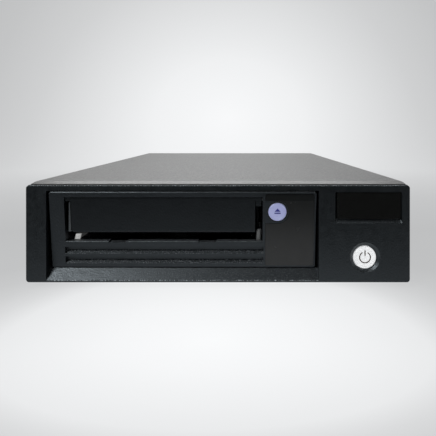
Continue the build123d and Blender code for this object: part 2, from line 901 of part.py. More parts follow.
# Panel board with the eject switch, behind the drive bezel
panel_board_gap = 4.0
panel_board_y = drive_back_y + panel_board_gap
panel_board_thickness = 1.2
panel_board_top = body_top - panel_board_gap
eject_switch = 6.0
with BuildPart() as panel_board:
    block(
        (window_left + 1, body_right - body_wall - 1),
        (panel_board_y, panel_board_y + panel_board_thickness),
        (body_bottom + body_wall + running_gap, panel_board_top),
    )
    block(
        (eject_x - eject_switch / 2, eject_x + eject_switch / 2),
        (drive_y + eject_back_y + eject_flange + eject_travel + running_gap, panel_board_y),
        (eject_z - eject_switch / 2, eject_z + eject_switch / 2),
    )

# Screw places on the rear panel: the lower pair holds the chassis, the upper the cover
panel_screw_inset = 8.0
panel_screw_x = cover_side_x - panel_screw_inset
panel_screw_low_z = 11.0
panel_screw_high_z = overall_height - panel_screw_inset
tab_thickness = 1.2
tab_half = 5.0
panel_screw_spots = [
    (side * panel_screw_x, z)
    for side in (-1, 1)
    for z in (panel_screw_low_z, panel_screw_high_z)
]

with base_chassis:
    for side in (-1, 1):
        tab_x = side * panel_screw_x
        outer_x = side * (chassis_side_x - sheet / 2)
        block(
            (min(tab_x - tab_half, outer_x), max(tab_x + tab_half, outer_x)),
            (panel_y - sheet - seat_gap - tab_thickness, panel_y - sheet - seat_gap),
            (floor_z - 0.1, panel_screw_low_z + tab_half),
        )
        round_bar(
            rearward(tab_x, panel_y - sheet - 4, panel_screw_low_z), screw_hole, 6, Mode.SUBTRACT
        )

with top_cover:
    for side in (-1, 1):
        tab_x = side * panel_screw_x
        block(
            (tab_x - tab_half, tab_x + tab_half),
            (cover_back_y - tab_thickness, cover_back_y),
            (panel_screw_high_z - tab_half, overall_height - sheet / 2),
        )
        round_bar(
            rearward(tab_x, cover_back_y - 3, panel_screw_high_z), screw_hole, 6, Mode.SUBTRACT
        )

with rear_panel:
    for screw_x, screw_z in panel_screw_spots:
        round_bar(
            rearward(screw_x, panel_y - sheet - 1, screw_z), screw_hole, sheet + 2, Mode.SUBTRACT
        )

with BuildPart() as panel_screws:
    for screw_x, screw_z in panel_screw_spots:
        round_bar(rearward(screw_x, panel_y - screw_length, screw_z), screw_radius, screw_length)
        round_bar(rearward(screw_x, panel_y, screw_z), screw_head_radius, screw_head)
    fillet(panel_screws.faces().group_by(Axis.Y)[-1].edges(), radius=0.5)

with BuildPart() as fan_screws:
    ear_y = panel_y + guard_wire
    for across in (-half_hole, half_hole):
        for up in (-half_hole, half_hole):
            spot = (fan_x + across, fan_z + up)
            tip = rearward(spot[0], ear_y - fan_screw_length, spot[1])
            round_bar(tip, screw_radius, fan_screw_length)
            round_bar(rearward(spot[0], ear_y, spot[1]), screw_head_radius, screw_head)

# Drive base casting: floor, walls and the rails of the cartridge tray
body_floor_z = body_bottom + body_wall
mount_screw_back = (40.8, 120.8, 180.8)
tray_front_back = 23.3
rack_back = 80.8
board_from_top = 5.8
board_rest = 0.4
board_z = body_top - board_from_top
rear_wall_top = board_z - board_rest
rail_thickness = 1.5
rail_ledge = 4.0
rail_rise = 7.0
mount_screw_y = [drive_y + back for back in mount_screw_back]
mount_screw_z = 21.0
tray_wall = 1.1
tray_side_room = 4.4
cartridge_width = slot_right - slot_left - tray_side_room
tray_from_top = 4.1
cartridge_length = 100.5
tray_front_y = drive_y + tray_front_back
tray_travel = 12.0
tray_lip = 9.0
tray_stop = 9.0
tray_inner_left = slot_middle_x - cartridge_width / 2
tray_inner_right = slot_middle_x + cartridge_width / 2
tray_left = tray_inner_left - tray_wall
tray_right = tray_inner_right + tray_wall
tray_floor_z = ledge_z - seat_gap
tray_base_z = tray_floor_z - tray_wall
tray_back_y = tray_front_y + cartridge_length + tray_wall
rack_middle_y = drive_y + rack_back
rack_half = 20.0
rack_clear = 6.0

with BuildPart() as drive_base:
    block(
        (body_left, body_right),
        (drive_back_y, body_back_y),
        (body_bottom, body_floor_z),
    )
    wall_top = body_top - drive_cover_sheet
    for wall_x in (body_left, body_right - body_wall):
        block(
            (wall_x, wall_x + body_wall),
            (drive_back_y, body_back_y),
            (body_bottom, wall_top),
        )
    block(
        (body_left, body_right),
        (body_back_y - body_wall, body_back_y),
        (body_bottom, rear_wall_top),
    )
    rail_end_y = tray_back_y + tray_travel
    gear_gap = (rack_middle_y - rack_half - rack_clear, rack_middle_y + rack_half)
    rails = (
        (tray_left - running_gap - rail_thickness, -1, tray_front_y, rail_end_y),
        (tray_right + running_gap, 1, tray_front_y, gear_gap[0]),
        (tray_right + running_gap, 1, gear_gap[1] + tray_travel + rack_clear, rail_end_y),
    )
    for rail_x, side, start_y, end_y in rails:
        block(
            (rail_x, rail_x + rail_thickness),
            (start_y, end_y),
            (body_floor_z - 0.1, tray_base_z + rail_rise),
        )
        ledge_x = rail_x + rail_thickness / 2
        inward = ledge_x - side * (rail_thickness + rail_ledge)
        block(
            (min(ledge_x, inward), max(ledge_x, inward)),
            (start_y, end_y),
            (tray_base_z - running_gap - rail_thickness, tray_base_z - running_gap),
        )
    for screw_y in mount_screw_y:
        with BuildSketch(Plane.YZ.offset(body_left - 1)):
            with Locations((screw_y, mount_screw_z)):
                Circle(screw_radius + shaft_gap)
        extrude(amount=body_width + 2, mode=Mode.SUBTRACT)

stamping_from_back = 50.0
stamping_margin = 15.0
stamping_length = 70.0
stamping_corner = 6.0
with BuildPart() as drive_cover:
    block(
        (body_left, body_right),
        (drive_back_y, body_back_y),
        (body_top - drive_cover_sheet, body_top),
    )
    # Stamped window that stiffens the sheet over the reels
    with BuildSketch(Plane.XY.offset(body_top - drive_cover_sheet / 2)):
        with Locations((drive_middle_x, body_back_y - stamping_from_back)):
            RectangleRounded(body_width - 2 * stamping_margin, stamping_length, stamping_corner)
    extrude(amount=drive_cover_sheet, mode=Mode.SUBTRACT)

# Brackets that carry the drive above the chassis floor
bracket_height = 26.0
bracket_foot = 12.0
bracket_past_screw = 12.0


def drive_bracket(side):
    """Angle bracket at one side of the drive: -1 for the left, 1 for the right."""
    face_x = body_left - seat_gap if side < 0 else body_right + seat_gap
    outer_x = face_x + side * sheet
    foot_x = face_x - side * bracket_foot
    with BuildPart() as bracket:
        block(
            (min(face_x, outer_x), max(face_x, outer_x)),
            (mount_screw_y[0] - bracket_past_screw, mount_screw_y[-1] + bracket_past_screw),
            (floor_z, floor_z + bracket_height),
        )
        block(
            (min(foot_x, outer_x), max(foot_x, outer_x)),
            (mount_screw_y[0] - bracket_past_screw, mount_screw_y[-1] + bracket_past_screw),
            (floor_z, floor_z + sheet),
        )
        for screw_y in mount_screw_y:
            with BuildSketch(Plane.YZ.offset(min(face_x, outer_x) - 1)) as hole:
                with Locations((screw_y, mount_screw_z)):
                    Circle(screw_hole)
            extrude(hole.sketch, amount=sheet + 2, mode=Mode.SUBTRACT)
    return bracket


bracket_left = drive_bracket(-1)
bracket_right = drive_bracket(1)

drive_screw_length = 3.4
with BuildPart() as drive_screws:
    for screw_y in mount_screw_y:
        for side in (-1, 1):
            face_x = body_left - seat_gap if side < 0 else body_right + seat_gap
            head_x = face_x + side * sheet
            out = Plane(
                origin=(head_x, screw_y, mount_screw_z), x_dir=(0, 1, 0), z_dir=(side, 0, 0)
            )
            round_bar(out.offset(-drive_screw_length), screw_radius, drive_screw_length)
            round_bar(out, screw_head_radius, screw_head)

# Cartridge tray with its side rack, and the pale flag at its front
gear_teeth = 16
gear_module = 1.0
gear_pitch_radius = gear_module * gear_teeth / 2
tooth_pitch = math.pi * gear_module
tooth_root = 1.95
tooth_tip = 0.6
tooth_sink = 0.25
rack_base = 0.8
rack_tooth_height = 1.9
rack_addendum = 0.8
rack_height = 3.6
rack_lift = 0.2
hub_x = slot_middle_x
hub_back = 72.8
hub_y = drive_y + hub_back
hub_radius = 11.0
hub_window = 14.0

with BuildPart() as cartridge_tray:
    block((tray_left, tray_right), (tray_front_y, tray_back_y), (tray_base_z, tray_floor_z))
    tray_top = body_top - tray_from_top
    for wall_x in (tray_left, tray_inner_right):
        block(
            (wall_x, wall_x + tray_wall),
            (tray_front_y, tray_back_y),
            (tray_base_z, tray_top),
        )
    lips = ((tray_left, tray_inner_left + tray_lip), (tray_inner_right - tray_lip, tray_right))
    for lip in lips:
        block(lip, (tray_front_y, tray_back_y), (tray_top - tray_wall, tray_top))
    block(
        (tray_left, tray_right),
        (tray_back_y - tray_wall, tray_back_y),
        (tray_base_z, tray_base_z + tray_stop),
    )
    # Window for the supply hub, long enough for the whole travel
    with BuildSketch(Plane.XY.offset(tray_base_z - 1)):
        with Locations((hub_x, hub_y - tray_travel / 2)):
            SlotOverall(2 * hub_window + tray_travel, 2 * hub_window, rotation=90)
    extrude(amount=tray_wall + 2, mode=Mode.SUBTRACT)
    # Rack on the right side
    rack_z = tray_base_z + rack_lift
    rack_face = tray_right + rack_base
    rack_tip = rack_face + rack_tooth_height
    rack_pitch_x = rack_tip - rack_addendum
    block(
        (tray_right - 0.1, rack_face),
        (rack_middle_y - rack_half, rack_middle_y + rack_half),
        (rack_z, rack_z + rack_height),
    )
    rack_count = int(2 * rack_half / tooth_pitch)
    rack_count -= rack_count % 2
    with BuildSketch(Plane.XY.offset(rack_z)):
        for tooth in range(rack_count):
            tooth_y = rack_middle_y + (tooth - rack_count / 2 + 0.5) * tooth_pitch
            with BuildLine():
                Polyline(
                    (rack_face - 0.1, tooth_y - tooth_root / 2),
                    (rack_tip, tooth_y - tooth_tip / 2),
                    (rack_tip, tooth_y + tooth_tip / 2),
                    (rack_face - 0.1, tooth_y + tooth_root / 2),
                    close=True,
                )
            make_face()
    extrude(amount=rack_height)

flag_y = drive_y + 6.0
flag_from_slot = 2.9
flag_width = 2.8
flag_height = 2.9
flag_shift = 0.8
flag_depth = 2.5
flag_arm_width = 2.1
flag_arm_height = 1.2
with BuildPart() as cartridge_flag:
    flag_x = slot_left + flag_from_slot
    flag_top = tray_floor_z + flag_height
    with BuildSketch(Plane.XZ.offset(-(flag_y + flag_depth))):
        with BuildLine():
            Polyline(
                (flag_x, tray_floor_z),
                (flag_x + flag_width, tray_floor_z),
                (flag_x + flag_width + flag_shift, flag_top),
                (flag_x + flag_shift, flag_top),
                close=True,
            )
        make_face()
    extrude(amount=flag_depth)
    arm_left = flag_x + (flag_width - flag_arm_width) / 2
    block(
        (arm_left, arm_left + flag_arm_width),
        (flag_y + flag_depth - 0.1, tray_front_y + flag_depth),
        (tray_floor_z, tray_floor_z + flag_arm_height),
    )

# Loader: worm gear in mesh with the rack, worm and motor
gear_x = rack_pitch_x + gear_pitch_radius
worm_radius = 2.4
worm_gap = 0.2
loader_motor_radius = 5.6
gear_tip_radius = gear_pitch_radius + rack_addendum
gear_root_radius = gear_pitch_radius - 1.15
worm_x = gear_x + gear_tip_radius + worm_gap + worm_radius
worm_z = rack_z + rack_height / 2
worm_length = 14.0
loader_motor_length = 22.0
loader_foot_width = 10.0
loader_foot_inset = 2.0
spindle_radius = 1.5
spindle_shoulder = 3.0
with BuildPart() as loader_gear:
    with BuildSketch(upright(gear_x, rack_middle_y, rack_z)):
        Circle(gear_root_radius)
        Circle(spindle_radius + shaft_gap, mode=Mode.SUBTRACT)
        for tooth in range(gear_teeth):
            tooth_angle = 180 + tooth * 360 / gear_teeth
            with BuildLine(
                Plane.XY.rotated((0, 0, tooth_angle))
            ):
                Polyline(
                    (gear_root_radius - tooth_sink, -tooth_root / 2),
                    (gear_tip_radius, -tooth_tip / 2),
                    (gear_tip_radius, tooth_tip / 2),
                    (gear_root_radius - tooth_sink, tooth_root / 2),
                    close=True,
                )
            make_face()
    extrude(amount=rack_height)

with BuildPart() as loader_shaft:
    shaft_foot = upright(gear_x, rack_middle_y, body_floor_z)
    round_bar(shaft_foot, spindle_radius, rack_z + rack_height + 1.4 - body_floor_z)
    round_bar(shaft_foot, spindle_shoulder, rack_z - running_gap - body_floor_z)

worm_end_room = 2.0
motor_y = rack_middle_y + worm_length / 2 + worm_end_room
with BuildPart() as loader_worm:
    round_bar(
        rearward(worm_x, rack_middle_y - worm_length / 2, worm_z), worm_radius, worm_length
    )
    round_bar(
        rearward(worm_x, rack_middle_y + worm_length / 2, worm_z), 1.0, worm_end_room - running_gap
    )

with BuildPart() as loader_motor:
    round_bar(rearward(worm_x, motor_y, worm_z), loader_motor_radius, loader_motor_length)
    block(
        (worm_x - loader_foot_width / 2, worm_x + loader_foot_width / 2),
        (motor_y + loader_foot_inset, motor_y + loader_motor_length - loader_foot_inset),
        (body_floor_z, worm_z),
    )

# Reels and their motors
motor_height = 5.0
supply_motor_radius = 15.0
hub_thickness = 3.6
hub_teeth = 24
hub_tooth_length = 2.4
hub_tooth_width = 0.9
with BuildPart() as supply_motor:
    round_bar(upright(hub_x, hub_y, body_floor_z), supply_motor_radius, motor_height)
    hub_seat = upright(hub_x, hub_y, body_floor_z + motor_height)
    round_bar(hub_seat, spindle_radius, hub_thickness - seat_gap)

with BuildPart() as supply_hub:
    hub_base = body_floor_z + motor_height + running_gap
    round_bar(upright(hub_x, hub_y, hub_base), hub_radius, hub_thickness)
    with BuildSketch(upright(hub_x, hub_y, hub_base + hub_thickness - 0.1)):
        with PolarLocations(hub_radius - hub_tooth_length + 0.2, hub_teeth):
            Rectangle(hub_tooth_length, hub_tooth_width)
    extrude(amount=hub_tooth_width)
    round_bar(
        upright(hub_x, hub_y, hub_base - 1), spindle_radius + shaft_gap, 6.0, Mode.SUBTRACT
    )

reel_off_middle = 11.7
reel_back = 170.8
reel_side_room = 46.0
reel_wound_depth = 17.0 / 30.0
reel_x = slot_middle_x - reel_off_middle
reel_y = drive_y + reel_back
reel_radius = (cartridge_width - reel_side_room) / 2
reel_core = reel_wound_depth * reel_radius
reel_base = 22.0
reel_flange = 1.2
reel_window_wall = 2.0
arm_below_board = 3.6
arm_z = board_z - arm_below_board
reel_below_arm = 3.6
tape_gap = arm_z - reel_below_arm - 2 * reel_flange - reel_base
takeup_motor_radius = reel_radius * 2 / 3
takeup_spindle_radius = 2.0
takeup_spindle_rise = 6.0
with BuildPart() as takeup_motor:
    reel_foot = upright(reel_x, reel_y, body_floor_z)
    round_bar(reel_foot, takeup_motor_radius, motor_height + 2)
    round_bar(reel_foot, takeup_spindle_radius, reel_base + takeup_spindle_rise - body_floor_z)

with BuildPart() as takeup_reel:
    reel_height = tape_gap + 2 * reel_flange
    round_bar(upright(reel_x, reel_y, reel_base), reel_core, reel_height)
    for flange_z in (reel_base, reel_base + reel_height - reel_flange):
        round_bar(upright(reel_x, reel_y, flange_z), reel_radius, reel_flange)
    round_bar(
        upright(reel_x, reel_y, reel_base - 1),
        takeup_spindle_radius + shaft_gap,
        takeup_spindle_rise + 1.5,
        Mode.SUBTRACT,
    )
    with BuildSketch(upright(reel_x, reel_y, reel_base - 1)):
        with PolarLocations((reel_radius + reel_core) / 2, 6):
            Circle((reel_radius - reel_core) / 2 - reel_window_wall)
    extrude(amount=reel_height + 2, mode=Mode.SUBTRACT)

# Guide rollers, each on its own post
roller_places = ((26.9, 144.8), (4.9, 146.8), (4.9, 190.8), (24.9, 194.8))
roller_spots = [(slot_right - across, drive_y + back) for across, back in roller_places]
roller_radius = 5.0
roller_base = 23.0
roller_below_arm = 5.0
roller_height = arm_z - roller_below_arm - roller_base
roller_flange = 1.0
roller_post_rise = 1.0
roller_shoulder = 4.0


def guide_roller(x, y):
    """Flanged tape roller at this place."""
    with BuildPart() as roller:
        round_bar(upright(x, y, roller_base), roller_radius, roller_height)
        for flange_z in (roller_base, roller_base + roller_height - roller_flange):
            round_bar(upright(x, y, flange_z), roller_radius + roller_flange, roller_flange)
        round_bar(
            upright(x, y, roller_base - 1),
            spindle_radius + shaft_gap,
            roller_height + 2,
            Mode.SUBTRACT,
        )
    return roller


rollers = [guide_roller(x, y) for x, y in roller_spots]
with BuildPart() as roller_posts:
    for roller_x, roller_y in roller_spots:
        post_foot = upright(roller_x, roller_y, body_floor_z)
        post_top = roller_base + roller_height + roller_post_rise
        round_bar(post_foot, spindle_radius, post_top - body_floor_z)
        round_bar(post_foot, roller_shoulder, roller_base - running_gap - body_floor_z)

# Head on its carriage, lifted by a lead screw
head_from_slot = 0.9
head_back = 168.8
screw_from_slot = 19.1
head_x = slot_right + head_from_slot
head_y = drive_y + head_back
screw_x = slot_right + screw_from_slot
lead_radius = 1.5
head_length = 8.0
head_width = 14.0
head_nose_round = 3.0
carriage_z = 26.0
head_below_arm = 5.0
head_height = arm_z - head_below_arm - carriage_z
carriage_height = head_height * 5 / 6
carriage_width = 10.0
carriage_past_screw = 4.5
stepper_radius = 6.0
stepper_height = 8.0
lead_screw_below_board = 2.4
with BuildPart() as tape_head:
    with BuildSketch(upright(head_x + head_length / 2, head_y, carriage_z)):
        Rectangle(head_length, head_width)
    extrude(amount=head_height)
    fillet(tape_head.edges().filter_by(Axis.Z).group_by(Axis.X)[0], radius=head_nose_round)

with BuildPart() as head_carriage:
    block(
        (head_x + head_length, screw_x + carriage_past_screw),
        (head_y - carriage_width / 2, head_y + carriage_width / 2),
        (carriage_z, carriage_z + carriage_height),
    )
    round_bar(
        upright(screw_x, head_y, carriage_z - 1),
        lead_radius + shaft_gap,
        carriage_height + 4,
        Mode.SUBTRACT,
    )

with BuildPart() as head_stepper:
    round_bar(upright(screw_x, head_y, body_floor_z), stepper_radius, stepper_height)

with BuildPart() as lead_screw:
    round_bar(
        upright(screw_x, head_y, body_floor_z + stepper_height + running_gap),
        lead_radius,
        board_z - lead_screw_below_board - body_floor_z - stepper_height - running_gap,
    )

# Threader arm: carries the leader pin from the cartridge to the reel
arm_from_slot = 29.8
arm_back = 176.3
arm_x = slot_right - arm_from_slot
arm_y = drive_y + arm_back
arm_length = 37.5
arm_angle = -63.2
arm_thickness = 1.5
arm_width = 7.0
arm_slot_length = 18.0
arm_slot_width = 3.0
grabber_radius = 2.6
grabber_height = 1.4
with BuildPart() as threader_post:
    arm_foot = upright(arm_x, arm_y, body_floor_z)
    round_bar(arm_foot, spindle_radius + 1, arm_z - running_gap - body_floor_z)
    round_bar(arm_foot, spindle_radius, arm_z + arm_thickness + 0.5 - body_floor_z)

with BuildPart() as threader_arm:
    arm_plane = Plane(
        origin=(arm_x, arm_y, arm_z),
        x_dir=(math.cos(math.radians(arm_angle)), math.sin(math.radians(arm_angle)), 0),
        z_dir=(0, 0, 1),
    )
    with BuildSketch(arm_plane):
        with Locations((arm_length / 2, 0)):
            SlotCenterToCenter(arm_length, arm_width)
        Circle(spindle_radius + shaft_gap, mode=Mode.SUBTRACT)
        with Locations((arm_length / 2, 0)):
            SlotOverall(arm_slot_length, arm_slot_width, mode=Mode.SUBTRACT)
    extrude(amount=arm_thickness)

with BuildPart() as pin_grabber:
    grab_x = arm_x + arm_length * math.cos(math.radians(arm_angle))
    grab_y = arm_y + arm_length * math.sin(math.radians(arm_angle))
    round_bar(upright(grab_x, grab_y, arm_z - grabber_height), grabber_radius, grabber_height)

# Main board over the tape path, on four posts, with the rear connector
board_front_back = 148.8
board_front_y = drive_y + board_front_back
board_back_y = body_back_y - body_wall - 1
board_side_gap = 1.0
board_post_radius = 2.5
board_post_margin_left = 4.0
board_post_margin_right = 2.5
board_post_inset = 4.0
chip_height = 1.4
chips = ((0.223, 24.0, 16.0), (0.439, 28.0, 20.0), (0.727, 20.0, 14.0), (0.899, 26.0, 12.0))
board_left = body_left + body_wall + board_side_gap
board_right = body_right - body_wall - board_side_gap
board_posts_x = (board_left + board_post_margin_left, board_right - board_post_margin_right)
board_posts_y = (board_front_y + board_post_inset, board_back_y - board_post_inset)
with BuildPart() as board_posts:
    for post_side_x in board_posts_x:
        for post_side_y in board_posts_y:
            round_bar(
                upright(post_side_x, post_side_y, body_floor_z),
                board_post_radius,
                board_z - body_floor_z,
            )

connector_z = board_z + board_thickness
board_width = board_right - board_left
with BuildPart() as main_board:
    block((board_left, board_right), (board_front_y, board_back_y), (board_z, connector_z))
    for chip_along, chip_back, chip_size in chips:
        chip_x = board_left + chip_along * board_width
        chip_y = board_front_y + chip_back
        half_chip = chip_size / 2
        block(
            (chip_x - half_chip, chip_x + half_chip),
            (chip_y - half_chip, chip_y + half_chip),
            (connector_z, connector_z + chip_height),
        )

connector_width = 50.0
connector_from_left = 17.5
connector_height = 3.2
connector_reach = 3.0
connector_on_board = 6.0
connector_left = body_left + connector_from_left
ribbon_y = body_back_y + connector_reach
with BuildPart() as drive_connector:
    block(
        (connector_left, connector_left + connector_width),
        (board_back_y - connector_on_board, ribbon_y),
        (connector_z, connector_z + connector_height),
    )

# Ribbon cable from the drive to the port board
ribbon_width = 36.0
ribbon_thickness = 1.2
ribbon_run = 12.0
ribbon_lead = 10.0
ribbon_back_y = port_board_y - board_thickness
ribbon_high_z = connector_z + 0.8
ribbon_low_z = 29.4
with BuildPart() as ribbon_cable:
    with BuildSketch(Plane.YZ.offset(port_x - ribbon_width / 2)):
        with BuildLine():
            Polyline(
                (ribbon_y, ribbon_high_z),
                (ribbon_y + ribbon_run, ribbon_high_z),
                (ribbon_back_y - ribbon_lead, ribbon_low_z),
                (ribbon_back_y, ribbon_low_z),
                (ribbon_back_y, ribbon_low_z + ribbon_thickness),
                (ribbon_back_y - ribbon_lead + 0.3, ribbon_low_z + ribbon_thickness),
                (ribbon_y + ribbon_run + 0.3, ribbon_high_z + ribbon_thickness),
                (ribbon_y, ribbon_high_z + ribbon_thickness),
                close=True,
            )
        make_face()
    extrude(amount=ribbon_width)

# Power supply beside the drive
supply_gap_left = 2.6
supply_gap_right = 5.0
supply_gap_front = 15.0
supply_gap_back = 71.7
supply_left = opening_right + supply_gap_left
supply_right = cover_side_x - supply_gap_right
supply_front_y = bezel_back_y + supply_gap_front
supply_back_y = panel_y - supply_gap_back
supply_z = 9.0
supply_post_inset_x = 5.0
supply_post_inset_y = 6.0
supply_post_radius = 2.5
supply_top = supply_z + board_thickness
supply_length = supply_back_y - supply_front_y
supply_middle_y = (supply_front_y + supply_back_y) / 2
with BuildPart() as supply_board:
    block(
        (supply_left, supply_right),
        (supply_front_y, supply_back_y),
        (supply_z, supply_top),
    )
    post_ends_y = (supply_front_y + supply_post_inset_y, supply_back_y - supply_post_inset_y)
    for post_x in (supply_left + supply_post_inset_x, supply_right - supply_post_inset_x):
        for post_y in (post_ends_y[0], supply_middle_y, post_ends_y[1]):
            round_bar(upright(post_x, post_y, floor_z), supply_post_radius, supply_z - floor_z)

core_size = 28.0
core_limb = 6.0
core_from_left = 7.5
with BuildPart() as supply_transformer:
    core_left = supply_left + core_from_left
    core_y = (supply_middle_y - core_size / 2, supply_middle_y + core_size / 2)
    for yoke_z in (supply_top, supply_top + core_size - core_limb):
        block((core_left, core_left + core_size), core_y, (yoke_z, yoke_z + core_limb))
    for limb in range(3):
        limb_x = core_left + limb * (core_size - core_limb) / 2
        block((limb_x, limb_x + core_limb), core_y, (supply_top, supply_top + core_size))

sink_from_left = 2.5
sink_base = 2.0
sink_fins = 7
fin_depth = 7.0
fin_thickness = 1.4
fin_inset = 3.0
sink_height = 32.0
sink_end_gap = 18.0
sink_spare = 50.0
sink_length = (supply_length - sink_spare) / 3
with BuildPart() as supply_heatsinks:
    sink_left = supply_left + sink_from_left
    base_right = sink_left + sink_base
    sink_tall = (supply_top, supply_top + sink_height)
    fin_pitch = (sink_length - 2 * fin_inset) / (sink_fins - 1)
    for sink_y in (supply_front_y + sink_end_gap, supply_back_y - sink_end_gap - sink_length):
        block((sink_left, base_right), (sink_y, sink_y + sink_length), sink_tall)
        for fin in range(sink_fins):
            fin_y = sink_y + fin_inset + fin * fin_pitch - fin_thickness / 2
            block(
                (base_right - 0.1, base_right + fin_depth),
                (fin_y, fin_y + fin_thickness),
                sink_tall,
            )

capacitor_from_right = 14.0
capacitors = (
    (0.165, 9.0, 32.0),
    (0.27, 9.0, 32.0),
    (0.69, 6.0, 24.0),
    (0.768, 6.0, 24.0),
    (0.846, 6.0, 24.0),
)
with BuildPart() as supply_capacitors:
    cap_x = supply_right - capacitor_from_right
    for cap_along, cap_radius, cap_height in capacitors:
        cap_y = supply_front_y + cap_along * supply_length
        round_bar(upright(cap_x, cap_y, supply_top), cap_radius, cap_height)

pieces = {
    "front_bezel": front_bezel,
    "badge_plate": badge_plate,
    "power_button": power_button,
    "power_switch": power_switch,
    "top_cover": top_cover,
    "base_chassis": base_chassis,
    "rubber_feet": rubber_feet,
    "rear_panel": rear_panel,
    "panel_screws": panel_screws,
    "fan_housing": fan_housing,
    "fan_rotor": fan_rotor,
    "fan_guard": fan_guard,
    "fan_screws": fan_screws,
    "power_inlet": power_inlet,
    "inlet_pins": inlet_pins,
    "port_board": port_board,
    "data_ports": data_ports,
    "jack_posts": jack_posts,
    "drive_bezel": drive_bezel,
    "status_window": status_window,
    "cartridge_door": cartridge_door,
    "door_pin": door_pin,
    "eject_button": eject_button,
    "guide_post": guide_post,
    "panel_board": panel_board,
    "drive_base": drive_base,
    "drive_cover": drive_cover,
    "bracket_left": bracket_left,
    "bracket_right": bracket_right,
    "drive_screws": drive_screws,
    "cartridge_tray": cartridge_tray,
    "cartridge_flag": cartridge_flag,
    "loader_gear": loader_gear,
    "loader_shaft": loader_shaft,
    "loader_worm": loader_worm,
    "loader_motor": loader_motor,
    "supply_motor": supply_motor,
    "supply_hub": supply_hub,
    "takeup_motor": takeup_motor,
    "takeup_reel": takeup_reel,
    "guide_roller_1": rollers[0],
    "guide_roller_2": rollers[1],
    "guide_roller_3": rollers[2],
    "guide_roller_4": rollers[3],
    "roller_posts": roller_posts,
    "tape_head": tape_head,
    "head_carriage": head_carriage,
    "head_stepper": head_stepper,
    "lead_screw": lead_screw,
    "threader_post": threader_post,
    "threader_arm": threader_arm,
    "pin_grabber": pin_grabber,
    "board_posts": board_posts,
    "main_board": main_board,
    "drive_connector": drive_connector,
    "ribbon_cable": ribbon_cable,
    "supply_board": supply_board,
    "supply_transformer": supply_transformer,
    "supply_heatsinks": supply_heatsinks,
    "supply_capacitors": supply_capacitors,
}
for name, piece in pieces.items():
    piece.part.label = name
    export_step(piece.part, f"parts/{name}.step")
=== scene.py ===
import json
import math

import bmesh
import bpy
from mathutils import Matrix, Vector


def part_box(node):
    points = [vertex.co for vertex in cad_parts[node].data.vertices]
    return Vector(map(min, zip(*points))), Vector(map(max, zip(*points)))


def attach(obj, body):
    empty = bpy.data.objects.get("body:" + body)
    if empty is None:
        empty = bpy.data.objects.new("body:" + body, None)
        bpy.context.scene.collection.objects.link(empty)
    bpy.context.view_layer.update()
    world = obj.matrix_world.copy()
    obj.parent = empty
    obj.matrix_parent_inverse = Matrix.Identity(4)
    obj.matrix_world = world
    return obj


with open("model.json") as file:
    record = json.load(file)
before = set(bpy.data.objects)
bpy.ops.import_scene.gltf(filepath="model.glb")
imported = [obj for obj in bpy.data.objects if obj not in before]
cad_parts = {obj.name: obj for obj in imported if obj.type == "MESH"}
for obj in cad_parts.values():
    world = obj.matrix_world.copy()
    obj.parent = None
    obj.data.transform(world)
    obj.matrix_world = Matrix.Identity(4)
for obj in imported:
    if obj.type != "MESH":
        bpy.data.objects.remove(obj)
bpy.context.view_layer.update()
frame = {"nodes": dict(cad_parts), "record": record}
nodes = frame["nodes"]
scene = bpy.context.scene

MM = 0.001


# Node helpers


def new_material(name):
    """A fresh node material with its tree, its shader and its object coordinates."""
    material = bpy.data.materials.new(name)
    material.use_nodes = True
    tree = material.node_tree
    shader = tree.nodes["Principled BSDF"]
    coordinates = tree.nodes.new("ShaderNodeTexCoord")
    return material, tree, shader, coordinates.outputs["Object"]


def noise(tree, vector, size, detail=3.0, roughness=0.55, stretch=(1, 1, 1)):
    """Noise whose blotches are about this large, in metres."""
    mapping = tree.nodes.new("ShaderNodeMapping")
    mapping.inputs["Scale"].default_value = stretch
    tree.links.new(vector, mapping.inputs["Vector"])
    texture = tree.nodes.new("ShaderNodeTexNoise")
    texture.inputs["Scale"].default_value = 1 / size
    texture.inputs["Detail"].default_value = detail
    texture.inputs["Roughness"].default_value = roughness
    tree.links.new(mapping.outputs["Vector"], texture.inputs["Vector"])
    return texture.outputs["Fac"]


def pebbles(tree, vector, size):
    """Rounded grain of this size, as moulded or powder-coated surfaces have."""
    texture = tree.nodes.new("ShaderNodeTexVoronoi")
    texture.feature = "SMOOTH_F1"
    texture.inputs["Scale"].default_value = 1 / size
    texture.inputs["Smoothness"].default_value = 0.6
    tree.links.new(vector, texture.inputs["Vector"])
    return texture.outputs["Distance"]


def remap(tree, value, from_low, from_high, low=0.0, high=1.0):
    """Map a value from one range to another, held at both ends."""
    node = tree.nodes.new("ShaderNodeMapRange")
    node.inputs["From Min"].default_value = from_low
    node.inputs["From Max"].default_value = from_high
    node.inputs["To Min"].default_value = low
    node.inputs["To Max"].default_value = high
    tree.links.new(value, node.inputs["Value"])
    return node.outputs["Result"]


def spread(tree, value, low, high):
    """Map a noise value to the range from low to high."""
    return remap(tree, value, 0.3, 0.7, low, high)


def two_tone(tree, value, dark, light):
    """Colour that drifts from dark to light with a noise value."""
    ramp = tree.nodes.new("ShaderNodeValToRGB")
    ramp.color_ramp.elements[0].position = 0.3
    ramp.color_ramp.elements[0].color = (*dark, 1)
    ramp.color_ramp.elements[1].position = 0.7
    ramp.color_ramp.elements[1].color = (*light, 1)
    tree.links.new(value, ramp.inputs["Fac"])
    return ramp.outputs["Color"]


def blend_colors(tree, factor, first, second):
    """Mix two colours, each a socket or a plain colour, by a factor socket."""
    node = tree.nodes.new("ShaderNodeMix")
    node.data_type = "RGBA"
    tree.links.new(factor, node.inputs["Factor"])
    for letter, color in (("A", first), ("B", second)):
        if isinstance(color, tuple):
            node.inputs[letter].default_value = (*color, 1)
        else:
            tree.links.new(color, node.inputs[letter])
    return node.outputs["Result"]


